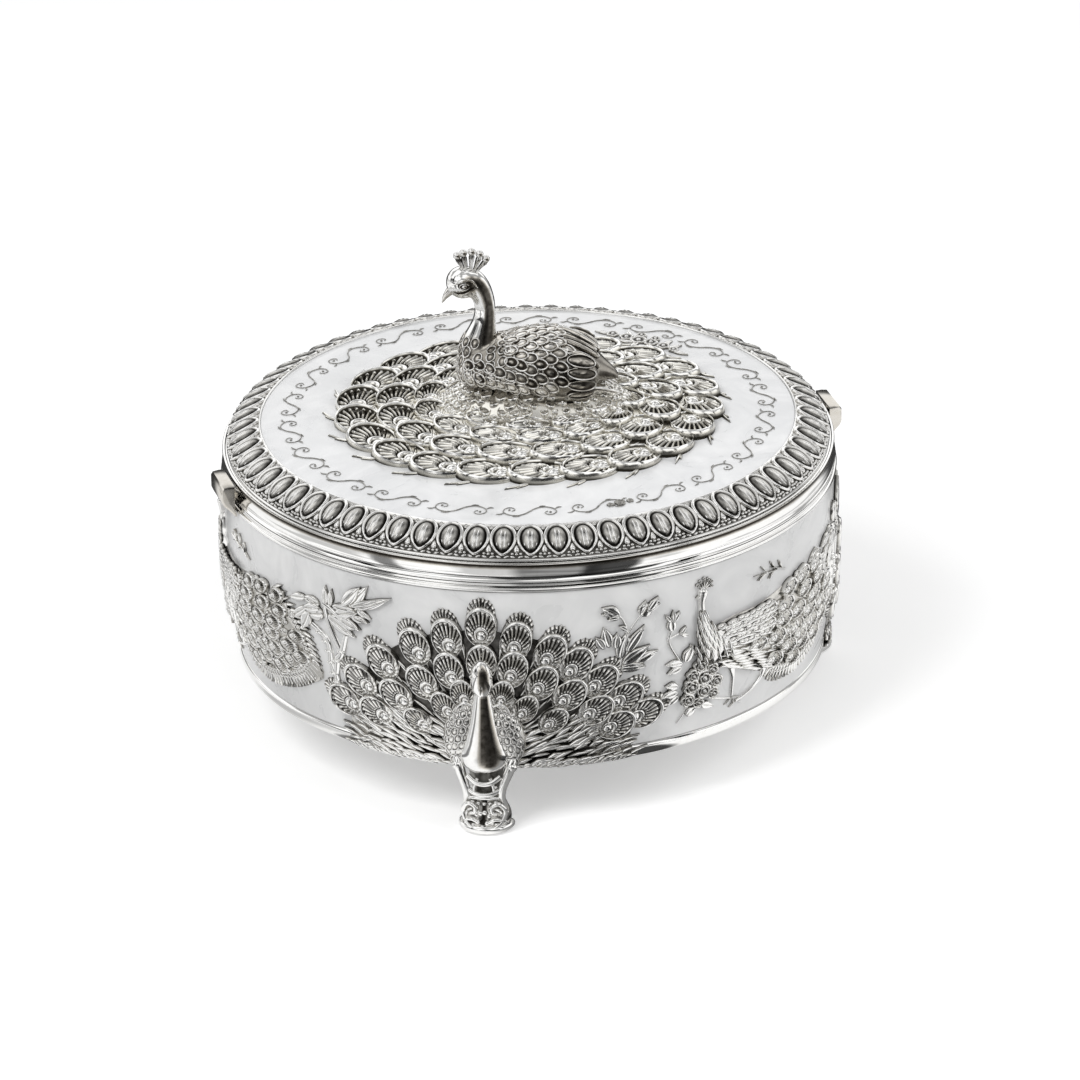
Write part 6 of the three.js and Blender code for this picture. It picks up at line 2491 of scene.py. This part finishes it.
    def skirt(self) -> list[Obj]:
        """Lays the small uneven feathers round the bird's foot.

        Returns:
            The skirt's parts.
        """
        mound = rings("bird_skirt", 72, self.skirt_table)
        move(mound, on_panel(spots(mound) + np.array((3.0, 0.0, 0.0))))
        close_up(mound)
        mark(mound, 0.45)
        scale, petal, parts = self.stamps.scale, self.stamps.blossom, [smooth(mound, 60)]
        for row, (reach, lift, count) in enumerate(self.skirt_rows):
            for step in range(count):
                turn = (step + 0.5 * (row % 2) + 0.3 * shake(step + 13 * row)) * 2 * math.pi / count
                at = (3.0 + (37.5 + reach) * math.cos(turn), (21.5 + reach) * math.sin(turn))
                way = math.degrees(math.atan2(-math.cos(turn), 1.5 * math.sin(turn)))
                way += 35 * shake(step * 1.3 + row)
                grow = 0.95 + 0.25 * shake(step * 0.7 + 3 * row)
                if (step * 7 + row * 3) % 6 == 0:
                    parts.append(petal.press(on_panel, at, way, (0.6 * grow, 0.6 * grow, 1.0), lift))
                else:
                    parts.append(scale.press(on_panel, at, way, (grow * 1.35, grow * 1.15, 1.2), lift, -0.3))
        return [retouch(part, lambda old, _: 0.55 * old) for part in parts]

    def build(self) -> None:
        """Builds and dresses the knob, its body painted darker than its neck as painted reflection, and cut
        off under the skirt.
        """
        obj = self.frame_skin()
        skin, points = Skin(obj), spots(obj)
        # Painted reflection: the body is marked darker than the neck.
        mark(obj, 0.6 - 0.6 * np.clip((points[:, 2] - 180.0) / 8.0, 0, 1))
        points[:, 2] = np.maximum(points[:, 2], self.base - 3.0)
        move(obj, points)
        beak = strand("bird_beak", self.beak, (3.0, 2.75, 2.4, 2.05, 1.75, 1.4, 1.05, 0.7, 0.25), 16)
        mark(beak, 0.15)
        head = [beak, *self.eye(-1), *self.eye(1), *self.crest()]
        whole = joined("knob_peacock_figure", [obj, *head, *self.plumage(skin), *self.quills(skin)])
        # Painted reflection: dark streaks where the figure faces front right or back left.
        paint_reflection_streaks(whole, ((0.42, -0.9, 0.1), (-0.42, 0.9, 0.1)), (0.84, 0.96), 0.8)
        finish(whole, Body.LID, Slot.CAST, self.palette.polished, "knob_peacock")
        finish(joined("knob_peacock_skirt", self.skirt()), Body.LID, Slot.CAST, self.palette.warm)


@dataclass
class Studio:
    """The camera, the pale floor and the soft light."""

    camera_at: Place = (0.0, -3.843, 1.8276)
    target: Place = (0.0045, 0.0, 0.0806)
    lens: float = 301.4266
    roll: float = -1.182
    box_middle: Place = (0.0, 0.0, 0.1)
    ambient: float = 0.62
    key_watts: float = 30.0
    fill_watts: float = 14.0
    flag_scale: float = 1.7
    flag_edge: Row = (0.40, 0.50, 0.5, 1.45)
    floor_cones: tuple[Cone, ...] = (
        (180.0, 0.0, 46.0, 60.0, 0.05), (25.0, 0.0, 7.0, 11.0, 0.04), (8.0, 0.0, 10.0, 16.0, 0.28),
        (-47.0, 0.0, 2.0, 6.0, 0.2),
    )
    world_cones: tuple[Cone, ...] = (
        (180.0, -48.0, 52.0, 62.0, 0.05), (4.0, 3.0, 16.0, 21.0, 0.04), (30.0, 3.0, 15.0, 20.0, 0.04),
        (-75.0, 12.0, 5.0, 9.0, 0.1),
    )

    def camera(self) -> None:
        """Places the long lens of the photograph."""
        data = bpy.data.cameras.new("photo_camera")
        data.lens = self.lens
        data.sensor_width = 36.0
        data.clip_end = 60.0
        obj = bpy.data.objects.new("photo_camera", data)
        bpy.context.scene.collection.objects.link(obj)
        way = (Vector(self.target) - Vector(self.camera_at)).to_track_quat("-Z", "Y")
        obj.rotation_mode = "QUATERNION"
        obj.rotation_quaternion = way @ Quaternion((0.0, 0.0, 1.0), math.radians(self.roll))
        obj.location = self.camera_at
        bpy.context.scene.camera = obj

    def floor(self) -> None:
        """Lays the white floor."""
        clear_selection()
        bpy.ops.mesh.primitive_plane_add(size=30.0)
        plane = bpy.context.object
        plane.name = "studio_floor"
        plane.data.materials.append(PaintFinish("white_floor", 0.9, 0.3, 4.2, self.floor_cones).material())
        plane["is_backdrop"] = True

    def card(self, name: str, azimuth: float, elevation: float, size: Flat, distance: float = 2.4) -> None:
        """Hangs a dark card that only polished surfaces see.

        Args:
            name: the card's name.
            azimuth: its direction in degrees from the front, to the right.
            elevation: its height in degrees.
            size: width and height in metres.
            distance: how far away it hangs in metres.
        """
        clear_selection()
        bpy.ops.mesh.primitive_plane_add(size=1.0)
        obj = bpy.context.object
        obj.name = name
        away = Vector(heading(azimuth, elevation))
        obj.location = away * distance + Vector((0, 0, 0.12))
        obj.rotation_mode = "QUATERNION"
        obj.rotation_quaternion = away.to_track_quat("Z", "Y")
        obj.scale = (size[0], size[1], 1.0)
        obj.data.materials.append(
            bpy.data.materials.get("dark_card") or PaintFinish("dark_card", 0.01).material()
        )
        obj.visible_camera = False
        obj.visible_diffuse = False
        obj.visible_shadow = False
        obj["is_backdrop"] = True

    def lamp(self, name: str, at: Place, size: float, watts: float) -> None:
        """Hangs a soft square lamp aimed at the box.

        Args:
            name: the lamp's name.
            at: its place in metres.
            size: its side in metres.
            watts: its power.
        """
        data = bpy.data.lights.new(name, "AREA")
        data.size = size
        data.energy = watts
        obj = bpy.data.objects.new(name, data)
        obj.location = at
        obj.rotation_mode = "QUATERNION"
        obj.rotation_quaternion = (Vector(self.box_middle) - Vector(at)).to_track_quat("-Z", "Y")
        obj.visible_glossy = False
        bpy.context.scene.collection.objects.link(obj)

    def world(self) -> None:
        """Sets a white surround for the eye, soft dark flags for metal and a plain level for the rest."""
        graph = Graph(bpy.data.worlds.new("studio"))
        bpy.context.scene.world = graph.holder
        ray, way = graph.add("LightPath").outputs, graph.place["Generated"]
        flags = graph.span(graph.noise(self.flag_scale, 1.0, at=way), *self.flag_edge, curve="SMOOTHSTEP")
        shaded = graph.math("MULTIPLY", flags, dark_cones(graph, way, self.world_cones))
        seen = graph.mix(ray["Is Glossy Ray"], 1.0, shaded)
        level = graph.mix(ray["Is Diffuse Ray"], seen, self.ambient)
        glow = graph.add("Background", {"Strength": level})
        graph.add("OutputWorld", {"Surface": glow.outputs["Background"]})

    def build(self) -> None:
        """Sets up the whole studio."""
        self.camera()
        self.floor()
        self.world()
        self.lamp("key_light", (-1.1, -1.3, 1.9), 1.1, self.key_watts)
        self.lamp("fill_light", (1.6, -0.6, 1.3), 1.2, self.fill_watts)
        self.card("card_over_camera", 0.0, 27.0, (0.7, 0.4))
        self.card("card_left", -62.0, 22.0, (0.35, 1.3))
        self.card("card_right", 58.0, 22.0, (0.35, 1.3))
        self.card("card_top", 180.0, 78.0, (1.0, 0.35))
        bpy.context.scene.view_settings.view_transform = "Standard"


def main() -> None:
    """Builds the box piece by piece, then its studio."""
    logging.basicConfig(level=logging.INFO, format="%(message)s")
    palette, stamps = Palette(), Stamps()
    for assembly in (Drum, Tray, Lid, KnobPeacock, Sectors):
        assembly(palette, stamps).build()
    stamps.put_away()
    Studio().build()
    boxes = {"cad": CAD_BOX, "visual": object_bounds()}
    {name: [[float(part) for part in corner] for corner in box] for name, box in boxes.items()}


if __name__ == "__main__":
    main()
